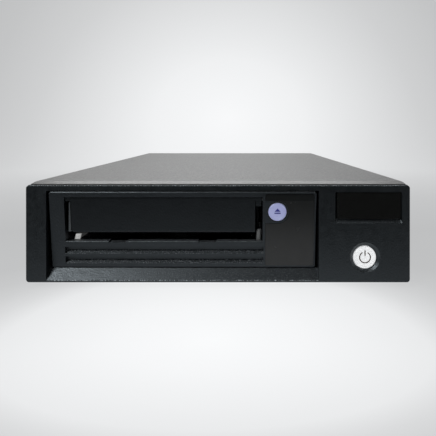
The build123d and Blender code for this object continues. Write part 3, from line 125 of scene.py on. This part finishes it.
def calculate(tree, operation, first, second=0.0):
    """Result of a sum over two values, each a socket or a number."""
    node = tree.nodes.new("ShaderNodeMath")
    node.operation = operation
    for socket, value in zip(node.inputs, (first, second)):
        if isinstance(value, (int, float)):
            socket.default_value = value
        else:
            tree.links.new(value, socket)
    return node.outputs[0]


def split_axes(tree, vector):
    """The X, Y and Z sockets of a vector."""
    axes = tree.nodes.new("ShaderNodeSeparateXYZ")
    tree.links.new(vector, axes.inputs["Vector"])
    return tuple(axes.outputs[letter] for letter in "XYZ")


def add_bump(tree, shader, heights):
    """Stack bumps of (height socket, depth in metres) under the shader's normal."""
    last = None
    for height, depth in heights:
        node = tree.nodes.new("ShaderNodeBump")
        node.inputs["Strength"].default_value = 1.0
        node.inputs["Distance"].default_value = depth
        tree.links.new(height, node.inputs["Height"])
        if last is not None:
            tree.links.new(last, node.inputs["Normal"])
        last = node.outputs["Normal"]
    tree.links.new(last, shader.inputs["Normal"])


def shade(color, factor):
    """A colour made lighter or darker by a factor, at most white."""
    return tuple(min(1.0, channel * factor) for channel in color)


# Materials


def paint_glints(tree, at, base, painted_glint):
    """Painted glints: pale flecks over a base colour, where the surface faces upward to the lamps.
    """
    coordinates = tree.nodes.new("ShaderNodeTexCoord")
    facing_up = split_axes(tree, coordinates.outputs["Normal"])[2]
    lit_from_above = remap(tree, facing_up, 0.3, 0.75)
    glint_speckle = remap(tree, noise(tree, at, 0.55 * MM, detail=1.0), 0.52, 0.7, 0.04, 1.0)
    share = calculate(tree, "MULTIPLY", lit_from_above, glint_speckle)
    return blend_colors(tree, share, base, (painted_glint * 0.86, painted_glint * 0.95, painted_glint))


def moulded(
    name, color, roughness=0.5, grain=0.8 * MM, depth=0.06 * MM, specular=0.5, painted_glint=0.0
):
    """Moulded plastic with an eroded grain and, given a glint colour, painted glints flecked over
    its upward faces.
    """
    material, tree, shader, at = new_material(name)
    drift = noise(tree, at, 18 * MM)
    base = two_tone(tree, drift, shade(color, 0.9), shade(color, 1.1))
    # Painted highlight: pale flecks on upward faces stand in for glints of the lamps
    if painted_glint:
        base = paint_glints(tree, at, base, painted_glint)
    tree.links.new(base, shader.inputs["Base Color"])
    polish = noise(tree, at, 3 * MM)
    tree.links.new(
        spread(tree, polish, roughness - 0.05, roughness + 0.06), shader.inputs["Roughness"]
    )
    shader.inputs["Specular IOR Level"].default_value = specular
    shader.inputs["Specular Tint"].default_value = (0.82, 0.93, 1.0, 1.0)
    add_bump(
        tree,
        shader,
        [(pebbles(tree, at, grain), depth), (noise(tree, at, grain / 2), depth / 3)],
    )
    return material


def powder_coat(name, color, roughness=0.36):
    """Textured paint on sheet steel: fine orange peel over a dark base."""
    material, tree, shader, at = new_material(name)
    drift = noise(tree, at, 60 * MM, detail=5)
    tree.links.new(
        two_tone(tree, drift, shade(color, 0.92), shade(color, 1.08)), shader.inputs["Base Color"]
    )
    speck = noise(tree, at, 1.2 * MM, detail=4)
    tree.links.new(
        spread(tree, speck, roughness - 0.06, roughness + 0.08), shader.inputs["Roughness"]
    )
    add_bump(
        tree,
        shader,
        [(pebbles(tree, at, 0.9 * MM), 0.022 * MM), (noise(tree, at, 0.5 * MM), 0.012 * MM)],
    )
    return material


def metal(name, color, roughness=0.3, stretch=(1, 1, 1), grain=0.4 * MM):
    """Bare or plated metal with fine drawn or cast grain."""
    material, tree, shader, at = new_material(name)
    shader.inputs["Metallic"].default_value = 1.0
    drift = noise(tree, at, 12 * MM)
    tree.links.new(
        two_tone(tree, drift, shade(color, 0.88), shade(color, 1.06)), shader.inputs["Base Color"]
    )
    streak = noise(tree, at, grain, stretch=stretch)
    tree.links.new(
        spread(tree, streak, roughness - 0.08, roughness + 0.12), shader.inputs["Roughness"]
    )
    add_bump(tree, shader, [(streak, 0.008 * MM)])
    return material


def gloss(name, color, roughness=0.08, specular=0.5, glow=0.0):
    """Polished plastic with faint waviness and dust, glowing by itself as much as the glow strength
    gives.
    """
    material, tree, shader, at = new_material(name)
    drift = noise(tree, at, 9 * MM)
    tree.links.new(
        two_tone(tree, drift, shade(color, 0.92), shade(color, 1.08)), shader.inputs["Base Color"]
    )
    dust = noise(tree, at, 5 * MM, detail=5)
    tree.links.new(
        spread(tree, dust, roughness - 0.02, roughness + 0.04), shader.inputs["Roughness"]
    )
    shader.inputs["Specular IOR Level"].default_value = specular
    shader.inputs["Emission Color"].default_value = (*color, 1)
    shader.inputs["Emission Strength"].default_value = glow
    add_bump(tree, shader, [(noise(tree, at, 9 * MM, detail=1.0), 0.01 * MM)])
    return material


def painted_lit_front(name, color, front, reach):
    """Pale plastic that glows at its front end, with painted shade that darkens it towards the
    back.
    """
    material, tree, shader, at = new_material(name)
    painted_shade_fade = remap(tree, split_axes(tree, at)[1], front, front + reach)
    drift = noise(tree, at, 2 * MM)
    painted_tone = blend_colors(
        tree, painted_shade_fade, two_tone(tree, drift, shade(color, 0.94), color), shade(color, 0.08)
    )
    tree.links.new(painted_tone, shader.inputs["Base Color"])
    tree.links.new(painted_tone, shader.inputs["Emission Color"])
    # Painted light: the flag glows with its own colour though it is no lamp
    shader.inputs["Emission Strength"].default_value = 0.4
    tree.links.new(spread(tree, drift, 0.35, 0.5), shader.inputs["Roughness"])
    add_bump(tree, shader, [(drift, 0.02 * MM)])
    return material


def circuit_board(name):
    """Green solder mask over copper traces."""
    material, tree, shader, at = new_material(name)
    bricks = tree.nodes.new("ShaderNodeTexBrick")
    bricks.inputs["Scale"].default_value = 1 / (6 * MM)
    bricks.inputs["Mortar Size"].default_value = 0.06
    bricks.inputs["Color1"].default_value = (0.01, 0.09, 0.035, 1)
    bricks.inputs["Color2"].default_value = (0.012, 0.12, 0.045, 1)
    bricks.inputs["Mortar"].default_value = (0.03, 0.2, 0.08, 1)
    tree.links.new(at, bricks.inputs["Vector"])
    tree.links.new(bricks.outputs["Color"], shader.inputs["Base Color"])
    tree.links.new(
        spread(tree, noise(tree, at, 2 * MM), 0.25, 0.4), shader.inputs["Roughness"]
    )
    add_bump(tree, shader, [(bricks.outputs["Fac"], 0.03 * MM)])
    return material


flag_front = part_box("cartridge_flag")[0][1]
slot_materials = {
    # The bezel and drive plastics carry painted glints on their upward faces
    "bezel": moulded(
        "bezel_plastic", (0.003, 0.0037, 0.0045), roughness=0.4, specular=0.7, painted_glint=0.065
    ),
    "drive_front": moulded(
        "drive_plastic", (0.0045, 0.0055, 0.007), roughness=0.44, specular=0.6, painted_glint=0.22
    ),
    "window": gloss("smoked_window", (0.0115, 0.0128, 0.013), roughness=0.24, specular=0.4),
    "badge": gloss("badge_gloss", (0.0085, 0.0088, 0.0085), roughness=0.09, specular=0.2),
    # Painted light: the power button glows by itself to look brighter
    "button_white": gloss("power_button_white", (0.86, 0.87, 0.88), roughness=0.3, glow=0.4),
    "button_lilac": gloss("eject_button_lilac", (0.56, 0.6, 1.0), roughness=0.28),
    "post": gloss("post_grey", (0.13, 0.135, 0.135), roughness=0.25),
    "flag": painted_lit_front("flag_painted_light", (0.8, 0.8, 0.79), flag_front, 2.0 * MM),
    "cover_paint": powder_coat("cover_coat", (0.066, 0.0648, 0.063)),
    "steel": metal("plated_steel", (0.5, 0.5, 0.49), stretch=(1, 0.1, 1)),
    "casting": metal("cast_alloy", (0.45, 0.45, 0.46), roughness=0.45, grain=0.8 * MM),
    "black_plastic": moulded("black_plastic", (0.012, 0.012, 0.013), roughness=0.42),
    "rubber": moulded("foot_rubber", (0.018, 0.018, 0.018), roughness=0.75, grain=0.9 * MM),
    "screw": metal("zinc_plate", (0.5, 0.5, 0.47), roughness=0.28),
    "board": circuit_board("circuit_board"),
    "brass": metal("turned_brass", (0.62, 0.43, 0.16), roughness=0.22, stretch=(1, 12, 1)),
    "gear_plastic": moulded("gear_plastic", (0.66, 0.63, 0.54), roughness=0.4),
    "tray": moulded("tray_black", (0.008, 0.008, 0.0085), roughness=0.5),
    "ribbon": moulded("ribbon_grey", (0.25, 0.25, 0.27), roughness=0.5, grain=1.2 * MM),
}

# The door shares the drive bezel's slot, but is darker and duller
own_materials = {
    "cartridge_door": moulded(
        "door_plastic", (0.003, 0.0035, 0.0042), roughness=0.42, specular=0.36, painted_glint=0.05
    ),
}

for entry in frame["record"]["subparts"]:
    node = nodes[entry["node"]]
    finish = own_materials.get(entry["node"], slot_materials[entry["material_slot"]])
    for material_slot in node.material_slots:
        material_slot.material = finish


# Mesh helpers


def mesh_piece(name, builder, material, body):
    """Add a mesh made by a bmesh builder, with its material, riding on a body."""
    mesh = bpy.data.meshes.new(name)
    form = bmesh.new()
    builder(form)
    bmesh.ops.recalc_face_normals(form, faces=form.faces)
    form.to_mesh(mesh)
    form.free()
    mesh.materials.append(material)
    piece = bpy.data.objects.new(name, mesh)
    scene.collection.objects.link(piece)
    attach(piece, body)


def skin_rings(form, rings, capped=True):
    """Join a row of vertex rings of equal length, and close its two ends."""
    count = len(rings[0])
    for before, after in zip(rings, rings[1:]):
        for side in range(count):
            following = (side + 1) % count
            form.faces.new((before[side], before[following], after[following], after[side]))
    if capped:
        form.faces.new(rings[0])
        form.faces.new(list(reversed(rings[-1])))


def raised(form, outline, frame_at, height):
    """Raise a flat outline, given in metres on a plane, by this height."""
    rings = [
        [form.verts.new(frame_at @ Vector((x, y, z))) for x, y in outline] for z in (0, height)
    ]
    skin_rings(form, rings)


def arc_band(form, frame_at, radius, width, height, start, end, steps=48):
    """A raised band that follows an arc from start to end, in degrees."""
    lift = Vector((0, 0, height))
    rings = []
    for step in range(steps + 1):
        angle = math.radians(start + (end - start) * step / steps)
        direction = Vector((math.cos(angle), math.sin(angle), 0))
        inner = direction * (radius - width / 2)
        outer = direction * (radius + width / 2)
        corners = (inner, outer, outer + lift, inner + lift)
        rings.append([form.verts.new(frame_at @ corner) for corner in corners])
    skin_rings(form, rings, capped=abs(end - start) < 360)


def cuboid(form, low, high):
    """A plain block between two corners."""
    corners = [
        form.verts.new((x, y, z))
        for x in (low[0], high[0])
        for y in (low[1], high[1])
        for z in (low[2], high[2])
    ]
    for face in (
        (0, 1, 3, 2),
        (4, 6, 7, 5),
        (0, 4, 5, 1),
        (2, 3, 7, 6),
        (0, 2, 6, 4),
        (1, 5, 7, 3),
    ):
        form.faces.new([corners[corner] for corner in face])


def facing(origin, x_axis, z_axis):
    """Matrix of a plane with this origin, X direction and outward normal."""
    y_axis = z_axis.cross(x_axis)
    rotation = Matrix((x_axis, y_axis, z_axis)).transposed().to_4x4()
    return Matrix.Translation(origin) @ rotation


def front_point(name, outward):
    """Middle of the flat face of a node that lies farthest along this direction."""
    node = nodes[name]
    points = [node.matrix_world @ vertex.co for vertex in node.data.vertices]
    reach = max(point.dot(outward) for point in points)
    face = [point for point in points if reach - point.dot(outward) < 0.02 * MM]
    low = Vector(min(point[axis] for point in face) for axis in range(3))
    high = Vector(max(point[axis] for point in face) for axis in range(3))
    return (low + high) / 2


# Symbols on the two buttons

# The bezel's face leans back by this run over its height
lean_run = 5.8 * MM
lean_rise = 53.5 * MM
lean = math.atan2(lean_run, lean_rise)
face_out = Vector((0, -math.cos(lean), math.sin(lean)))
forward = Vector((0, -1, 0))
right = Vector((1, 0, 0))
power_face = facing(front_point("power_button", face_out), right, face_out)
eject_face = facing(front_point("eject_button", forward), right, forward)

power_ink = gloss("symbol_brown", (0.085, 0.062, 0.05), roughness=0.4)
eject_ink = gloss("symbol_blue", (0.03, 0.035, 0.3), roughness=0.4)
ink_height = 0.03 * MM


def upright_bar(half_width, bottom, top):
    """Outline of a rectangle centred on the plane's Y axis."""
    return [(-half_width, bottom), (half_width, bottom), (half_width, top), (-half_width, top)]


def power_symbol(form):
    """An open ring with a bar in its gap."""
    stroke = 0.6 * MM
    arc_band(form, power_face, 3.0 * MM, stroke, ink_height, 118, 422)
    raised(form, upright_bar(stroke / 2, 0.9 * MM, 3.9 * MM), power_face, ink_height)


def eject_symbol(form):
    """A triangle over a bar."""
    half = 1.7 * MM
    triangle = [(-half, 0.2 * MM), (half, 0.2 * MM), (0, 2.05 * MM)]
    raised(form, triangle, eject_face, ink_height)
    raised(form, upright_bar(half, -1.0 * MM, -0.3 * MM), eject_face, ink_height)


def eject_ring(form):
    """The raised rim of the eject button."""
    arc_band(form, eject_face, 4.2 * MM, 0.22 * MM, 0.06 * MM, 0, 360)


mesh_piece("power_symbol", power_symbol, power_ink, "power_button")
mesh_piece("eject_symbol", eject_symbol, eject_ink, "eject_button")
mesh_piece(
    "eject_ring", eject_ring, slot_materials["button_lilac"], "eject_button"
)


# Trim of the front: bevels along its edges in lit copies of the plastic with painted glints, a dark
# strip before the cover that paints the shade of the gap there, the door's rib in a pale grey that
# paints a highlight on its edge

front_low, front_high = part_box("front_bezel")
drive_low, drive_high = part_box("drive_bezel")
door_low, door_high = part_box("cartridge_door")
cover_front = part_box("top_cover")[0][1]
bezel_half = front_high[0]
bezel_top = front_high[2]
bezel_top_y = front_low[1] + lean_run

# Lit copies of the front plastic: lighter base colours with painted glints, for painted highlights
# along the bevelled edges
edge_painted_shine = moulded(
    "edge_painted_shine", (0.012, 0.0135, 0.0155), roughness=0.5, specular=0.42, painted_glint=0.26
)
edge_painted_glints = moulded(
    "edge_painted_glints", (0.006, 0.0068, 0.0078), roughness=0.5, specular=0.42, painted_glint=0.7
)
# Painted shade: a near-black, dull strip stands where the gap between bezel and cover lies in shade
gap_shade_black = moulded("gap_shade_black", (0.0018, 0.0019, 0.002), roughness=0.75, specular=0.12)
# Pale grey that paints the highlight on the door's rounded left edge
door_highlight_grey = gloss("door_edge_painted_highlight", (0.05, 0.058, 0.062), roughness=0.3)


def add_bevel(name, stretches, y, z, run, rise, material):
    """Slim strips between these ends along X, that start at (y, z) and climb to the back."""
    edge = 0.06 * MM
    profile = [
        (y + run + edge, z - edge),
        (y, z - edge),
        (y, z),
        (y + run * 0.5, z + rise * 0.56),
        (y + run, z + rise),
        (y + run + edge, z + rise),
    ]

    def build(form):
        for stretch in stretches:
            skin_rings(form, [[form.verts.new((x, *place)) for place in profile] for x in stretch])

    mesh_piece(name, build, material, "enclosure")


add_bevel(
    "bezel_top_bevel",
    [(-bezel_half + 1.7 * MM, bezel_half - 1.7 * MM)],
    y=bezel_top_y - 0.12 * MM,
    z=bezel_top - 0.28 * MM,
    run=0.36 * MM,
    rise=0.33 * MM,
    material=edge_painted_glints,
)


def cover_gap_shade(form):
    """A dark flat strip on the bezel's top, from its bevel to the cover, that paints the shade of
    the gap between them.
    """
    half = bezel_half - 1.2 * MM
    cuboid(
        form,
        (-half, bezel_top_y + 0.32 * MM, bezel_top - 0.05 * MM),
        (half, cover_front - 0.02 * MM, bezel_top + 0.12 * MM),
    )


mesh_piece("cover_gap_shade", cover_gap_shade, gap_shade_black, "enclosure")

add_bevel(
    "drive_top_bevel",
    [(drive_low[0] + 1.0 * MM, drive_high[0] - 1.0 * MM)],
    y=drive_low[1] + 0.02 * MM,
    z=drive_high[2] - 0.15 * MM,
    run=0.35 * MM,
    rise=0.5 * MM,
    material=slot_materials["drive_front"],
)

# The ledge under the door is open at its two notches
ledge_top = 25.4 * MM
ledge_left = -85.5 * MM
ledge_right = 24.9 * MM
notch_half = 5.05 * MM
notch_left = ledge_left + 29.2 * MM
notch_right = ledge_right - 31.05 * MM
add_bevel(
    "ledge_bevel",
    [
        (ledge_left, notch_left - notch_half),
        (notch_left + notch_half, notch_right - notch_half),
        (notch_right + notch_half, ledge_right),
    ],
    y=drive_low[1] - 0.24 * MM,
    z=ledge_top - 0.35 * MM,
    run=0.34 * MM,
    rise=0.45 * MM,
    material=edge_painted_shine,
)

# The sill is the bezel's lower edge, under the drive
sill_left, sill_right = -95.0 * MM, 55.7 * MM
sill_front, sill_top = -165.93 * MM, 4.22 * MM
add_bevel(
    "sill_bevel",
    [(sill_left, sill_right)],
    y=sill_front,
    z=sill_top,
    run=0.36 * MM,
    rise=0.42 * MM,
    material=edge_painted_glints,
)


def door_strip(form):
    """A slim rib, bevelled to the left, that widens towards the door's lower edge, in a pale grey
    that paints the highlight on the door's rounded left edge.
    """
    face = door_low[1]
    low_z = door_low[2] + 0.9 * MM
    high_z = door_high[2] - 2.6 * MM
    rib_right = door_low[0] + 2.8 * MM
    rings = []
    for z, width in ((low_z, 1.5 * MM), ((low_z + high_z) / 2, 1.1 * MM), (high_z, 0.7 * MM)):
        rings.append(
            [
                form.verts.new((rib_right - width, face + 0.1 * MM, z)),
                form.verts.new((rib_right - 0.2 * MM, face - 0.22 * MM, z)),
                form.verts.new((rib_right, face - 0.16 * MM, z)),
                form.verts.new((rib_right, face + 0.1 * MM, z)),
            ]
        )
    skin_rings(form, rings)


mesh_piece("door_edge_strip", door_strip, door_highlight_grey, "cartridge_door")


# Contact blocks inside the two data ports at the back

port_x = -66.0 * MM
port_heights = (20.0 * MM, 40.0 * MM)
panel_face = 163.7 * MM
block_half_width = 19.3 * MM
block_half_height = 2.4 * MM
contact_half_width = 0.28 * MM
contact_half_height = 0.4 * MM
contact_rows = (-1.15 * MM, 1.15 * MM)
contact_pitch = 1.1 * MM
contacts_in_row = 34


def port_blocks(form):
    """The insulating block of each port."""
    for z in port_heights:
        cuboid(
            form,
            (port_x - block_half_width, panel_face - 0.05 * MM, z - block_half_height),
            (port_x + block_half_width, panel_face + 0.9 * MM, z + block_half_height),
        )


def port_contacts(form):
    """Two rows of contacts on each block."""
    for z in port_heights:
        for row in contact_rows:
            for count in range(contacts_in_row):
                x = port_x + (count - (contacts_in_row - 1) / 2) * contact_pitch
                middle = z + row
                cuboid(
                    form,
                    (x - contact_half_width, panel_face + 0.8 * MM, middle - contact_half_height),
                    (x + contact_half_width, panel_face + 1.05 * MM, middle + contact_half_height),
                )


port_black = moulded("port_black", (0.012, 0.012, 0.013), roughness=0.5)
contact_gold = metal("contact_gold", (0.8, 0.6, 0.28), roughness=0.3)
mesh_piece("port_blocks", port_blocks, port_black, "enclosure")
mesh_piece("port_contacts", port_contacts, contact_gold, "enclosure")


# Painted shade of the cross recesses on the screw heads at the back

slot_half_length = 1.5 * MM
slot_half_width = 0.3 * MM
slot_shapes = ((slot_half_length, slot_half_width), (slot_half_width, slot_half_length))
recess_shade_dark = metal("recess_shade_dark", (0.05, 0.05, 0.05), roughness=0.5)
fan_x, fan_z = 5.0, 30.65
fan_hole_half_pitch = 16
screw_places = {
    "panel_screws": [(x, z) for x in (-98.0, 98.0) for z in (11.0, 50.0)],
    "fan_screws": [
        (fan_x + across, fan_z + up)
        for across in (-fan_hole_half_pitch, fan_hole_half_pitch)
        for up in (-fan_hole_half_pitch, fan_hole_half_pitch)
    ],
}


def screw_slots(form, name):
    """Two crossed dark strips on each head of this node, painting the shade of a cross recess."""
    head_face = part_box(name)[1][1]
    for x, z in screw_places[name]:
        for half_x, half_z in slot_shapes:
            cuboid(
                form,
                (x * MM - half_x, head_face - 0.05 * MM, z * MM - half_z),
                (x * MM + half_x, head_face + 0.002 * MM, z * MM + half_z),
            )


mesh_piece(
    "panel_screw_slots",
    lambda form: screw_slots(form, "panel_screws"),
    recess_shade_dark,
    "enclosure",
)
mesh_piece(
    "fan_screw_slots",
    lambda form: screw_slots(form, "fan_screws"),
    recess_shade_dark,
    "enclosure",
)


# Stage: a pale floor that sweeps up into a backdrop

# Share of a painted pool of light's reach from its middle, and the painted brightness there
wall_levels = ((0.0, 0.956), (0.216, 0.892), (0.41, 0.76), (0.565, 0.65), (0.73, 0.575), (1.0, 0.5))
floor_levels = (
    (0.0, 0.983),
    (0.04, 0.94),
    (0.07, 0.885),
    (0.09, 0.84),
    (0.105, 0.72),
    (0.12, 0.64),
    (0.135, 0.59),
    (0.16, 0.55),
    (0.28, 0.527),
    (0.6, 0.5),
)


def squared_share(tree, value, middle, reach):
    """Square of the distance from the middle, as a share of the reach."""
    share = calculate(tree, "DIVIDE", calculate(tree, "SUBTRACT", value, middle), reach)
    return calculate(tree, "MULTIPLY", share, share)


def pool(tree, shares, levels):
    """Painted brightness that falls off from the middle of a pool of light by these steps."""
    total = shares[0]
    for share in shares[1:]:
        total = calculate(tree, "ADD", total, share)
    ramp = tree.nodes.new("ShaderNodeValToRGB")
    stops = ramp.color_ramp.elements
    while len(stops) < len(levels):
        stops.new(0.5)
    for stop, (place, level) in zip(stops, levels):
        stop.position = place
        stop.color = (level, level, level, 1)
    tree.links.new(calculate(tree, "SQRT", total), ramp.inputs["Fac"])
    return ramp.outputs["Color"]


def stage_painted_light(tree, along_x, along_y, along_z, glossy):
    """Cool grey with painted pools of light, one on the wall and one on the floor before the
    object.
    """
    # Reflections see a narrower painted pool on the wall, a painted reflection that keeps the
    # cover's sides darker
    narrowing = 0.42
    wall_reach = calculate(tree, "SUBTRACT", 1.0, calculate(tree, "MULTIPLY", glossy, narrowing))
    wall_y = 0.75
    wall_pool = pool(
        tree,
        (
            squared_share(tree, along_x, -0.02, wall_reach),
            squared_share(tree, along_z, 0.125, 0.82),
            squared_share(tree, calculate(tree, "MINIMUM", along_y, wall_y), wall_y, 0.9),
        ),
        wall_levels,
    )
    pool_y = -0.225
    floor_pool = pool(
        tree,
        (
            squared_share(tree, along_x, 0.0, 1.0),
            squared_share(tree, calculate(tree, "MINIMUM", along_y, pool_y), pool_y, 0.6),
            squared_share(tree, calculate(tree, "MAXIMUM", along_y, pool_y), pool_y, 1.0),
            squared_share(tree, along_z, 0.0, 0.3),
        ),
        floor_levels,
    )
    level = calculate(tree, "MAXIMUM", wall_pool, floor_pool)
    pool_light_tint = tree.nodes.new("ShaderNodeCombineColor")
    for channel, factor in zip(("Red", "Green", "Blue"), (0.99, 1.0, 1.01)):
        tree.links.new(calculate(tree, "MULTIPLY", level, factor), pool_light_tint.inputs[channel])
    return pool_light_tint.outputs["Color"]


def stage_material():
    """The stage's painted pools of light, mostly glowing to the camera and to reflections near the
    object.
    """
    material, tree, shader, at = new_material("studio_sweep")
    along_x, along_y, along_z = split_axes(tree, at)
    rays = tree.nodes.new("ShaderNodeLightPath")
    glossy = rays.outputs["Is Glossy Ray"]
    pool_light_tint = stage_painted_light(tree, along_x, along_y, along_z, glossy)

    # Past this line before the object the floor goes dark, painted shade that darkens what the
    # object's front reflects
    dark_line_y = -0.28
    edge_fade = 0.12
    past_edge = calculate(tree, "SUBTRACT", dark_line_y, along_y)
    faded = calculate(tree, "DIVIDE", past_edge, edge_fade)
    past_dark_line = calculate(tree, "MINIMUM", calculate(tree, "MAXIMUM", faded, 0.0), 1.0)
    near = calculate(tree, "SUBTRACT", 1.0, past_dark_line)
    base = blend_colors(tree, near, (0.03, 0.03, 0.03), pool_light_tint)
    tree.links.new(base, shader.inputs["Base Color"])
    shader.inputs["Roughness"].default_value = 0.9
    shader.inputs["Specular IOR Level"].default_value = 0.0

    # The rest of the surface is plain and lit, so that it keeps the object's shadow
    glow_share = 0.94
    glow = tree.nodes.new("ShaderNodeEmission")
    tree.links.new(pool_light_tint, glow.inputs["Color"])
    near_gloss = calculate(tree, "MULTIPLY", glossy, near)
    seen = calculate(tree, "MAXIMUM", rays.outputs["Is Camera Ray"], near_gloss)
    mix = tree.nodes.new("ShaderNodeMixShader")
    tree.links.new(calculate(tree, "MULTIPLY", seen, glow_share), mix.inputs["Fac"])
    tree.links.new(shader.outputs["BSDF"], mix.inputs[1])
    tree.links.new(glow.outputs["Emission"], mix.inputs[2])
    tree.links.new(mix.outputs["Shader"], tree.nodes["Material Output"].inputs["Surface"])
    return material


def build_stage():
    """Floor and backdrop as one curved sheet behind the object."""
    half_width = 7.0
    front = -7.0
    wall = 0.95
    bend = 0.35
    bend_steps = 12
    height = 1.6
    below_feet = 0.2 * MM
    path = [(front, 0.0), (wall - bend, 0.0)]
    for step in range(1, bend_steps + 1):
        angle = math.radians(90 * step / bend_steps)
        path.append((wall - bend + bend * math.sin(angle), bend - bend * math.cos(angle)))
    path.append((wall, height))
    mesh = bpy.data.meshes.new("studio_sweep")
    form = bmesh.new()
    rows = [
        [form.verts.new((side * half_width, y, z - below_feet)) for side in (-1, 1)]
        for y, z in path
    ]
    for before, after in zip(rows, rows[1:]):
        form.faces.new((before[0], before[1], after[1], after[0]))
    form.to_mesh(mesh)
    form.free()
    mesh.shade_smooth()
    mesh.materials.append(stage_material())
    sweep = bpy.data.objects.new("studio_sweep", mesh)
    scene.collection.objects.link(sweep)


build_stage()


# Light: soft lamps from the front left, overhead and behind, and a weak one from the right


def soft_lamp(name, place, target, size, power, width=None):
    """An area lamp that points at the target, square or of its own width."""
    data = bpy.data.lights.new(name, "AREA")
    data.shape = "RECTANGLE"
    data.size = width or size
    data.size_y = size
    data.energy = power
    lamp = bpy.data.objects.new(name, data)
    lamp.location = place
    lamp.rotation_euler = (Vector(target) - Vector(place)).to_track_quat("-Z", "Y").to_euler()
    scene.collection.objects.link(lamp)


soft_lamp("lamp_front", (-0.66, -0.8, 0.95), (0, -0.16, 0.02), 0.45, 9.2)
soft_lamp("lamp_side", (0.85, -0.7, 0.22), (-0.05, -0.16, 0.03), 0.5, 1.0)
soft_lamp("lamp_top", (0.0, 0.1, 1.3), (0, 0, 0), 0.9, 6)
soft_lamp("lamp_back", (-0.05, 0.85, 0.72), (0, -0.15, 0.05), 0.4, 4.5, width=1.1)

# The surroundings light the object weakly, and are pale where the camera sees past the stage
world = bpy.data.worlds.new("studio")
scene.world = world
world.use_nodes = True
background = world.node_tree.nodes["Background"]
background.inputs["Color"].default_value = (0.86, 0.87, 0.89, 1)
world_rays = world.node_tree.nodes.new("ShaderNodeLightPath")
world_strength = remap(
    world.node_tree, world_rays.outputs["Is Camera Ray"], 0.0, 1.0, low=0.03, high=0.62
)
world.node_tree.links.new(world_strength, background.inputs["Strength"])


# Camera: the photo's low frontal view, its frame cut off centre

image_size = 436
focal_px = 427.9
optical_axis_px = (238.7, 178.2)
camera_data = bpy.data.cameras.new("camera")
camera_data.sensor_width = 36.0
camera_data.lens = focal_px / image_size * camera_data.sensor_width
camera_data.shift_x = -(optical_axis_px[0] - image_size / 2) / image_size
camera_data.shift_y = -(image_size / 2 - optical_axis_px[1]) / image_size
camera_data.clip_start = 0.01
camera = bpy.data.objects.new("camera", camera_data)
camera.location = (11.509 * MM, -395.28 * MM, 86.81 * MM)
camera_tilt = -0.11
camera.rotation_euler = (math.pi / 2 + camera_tilt, 0, 0)
scene.collection.objects.link(camera)
scene.camera = camera

scene.view_settings.view_transform = "Standard"
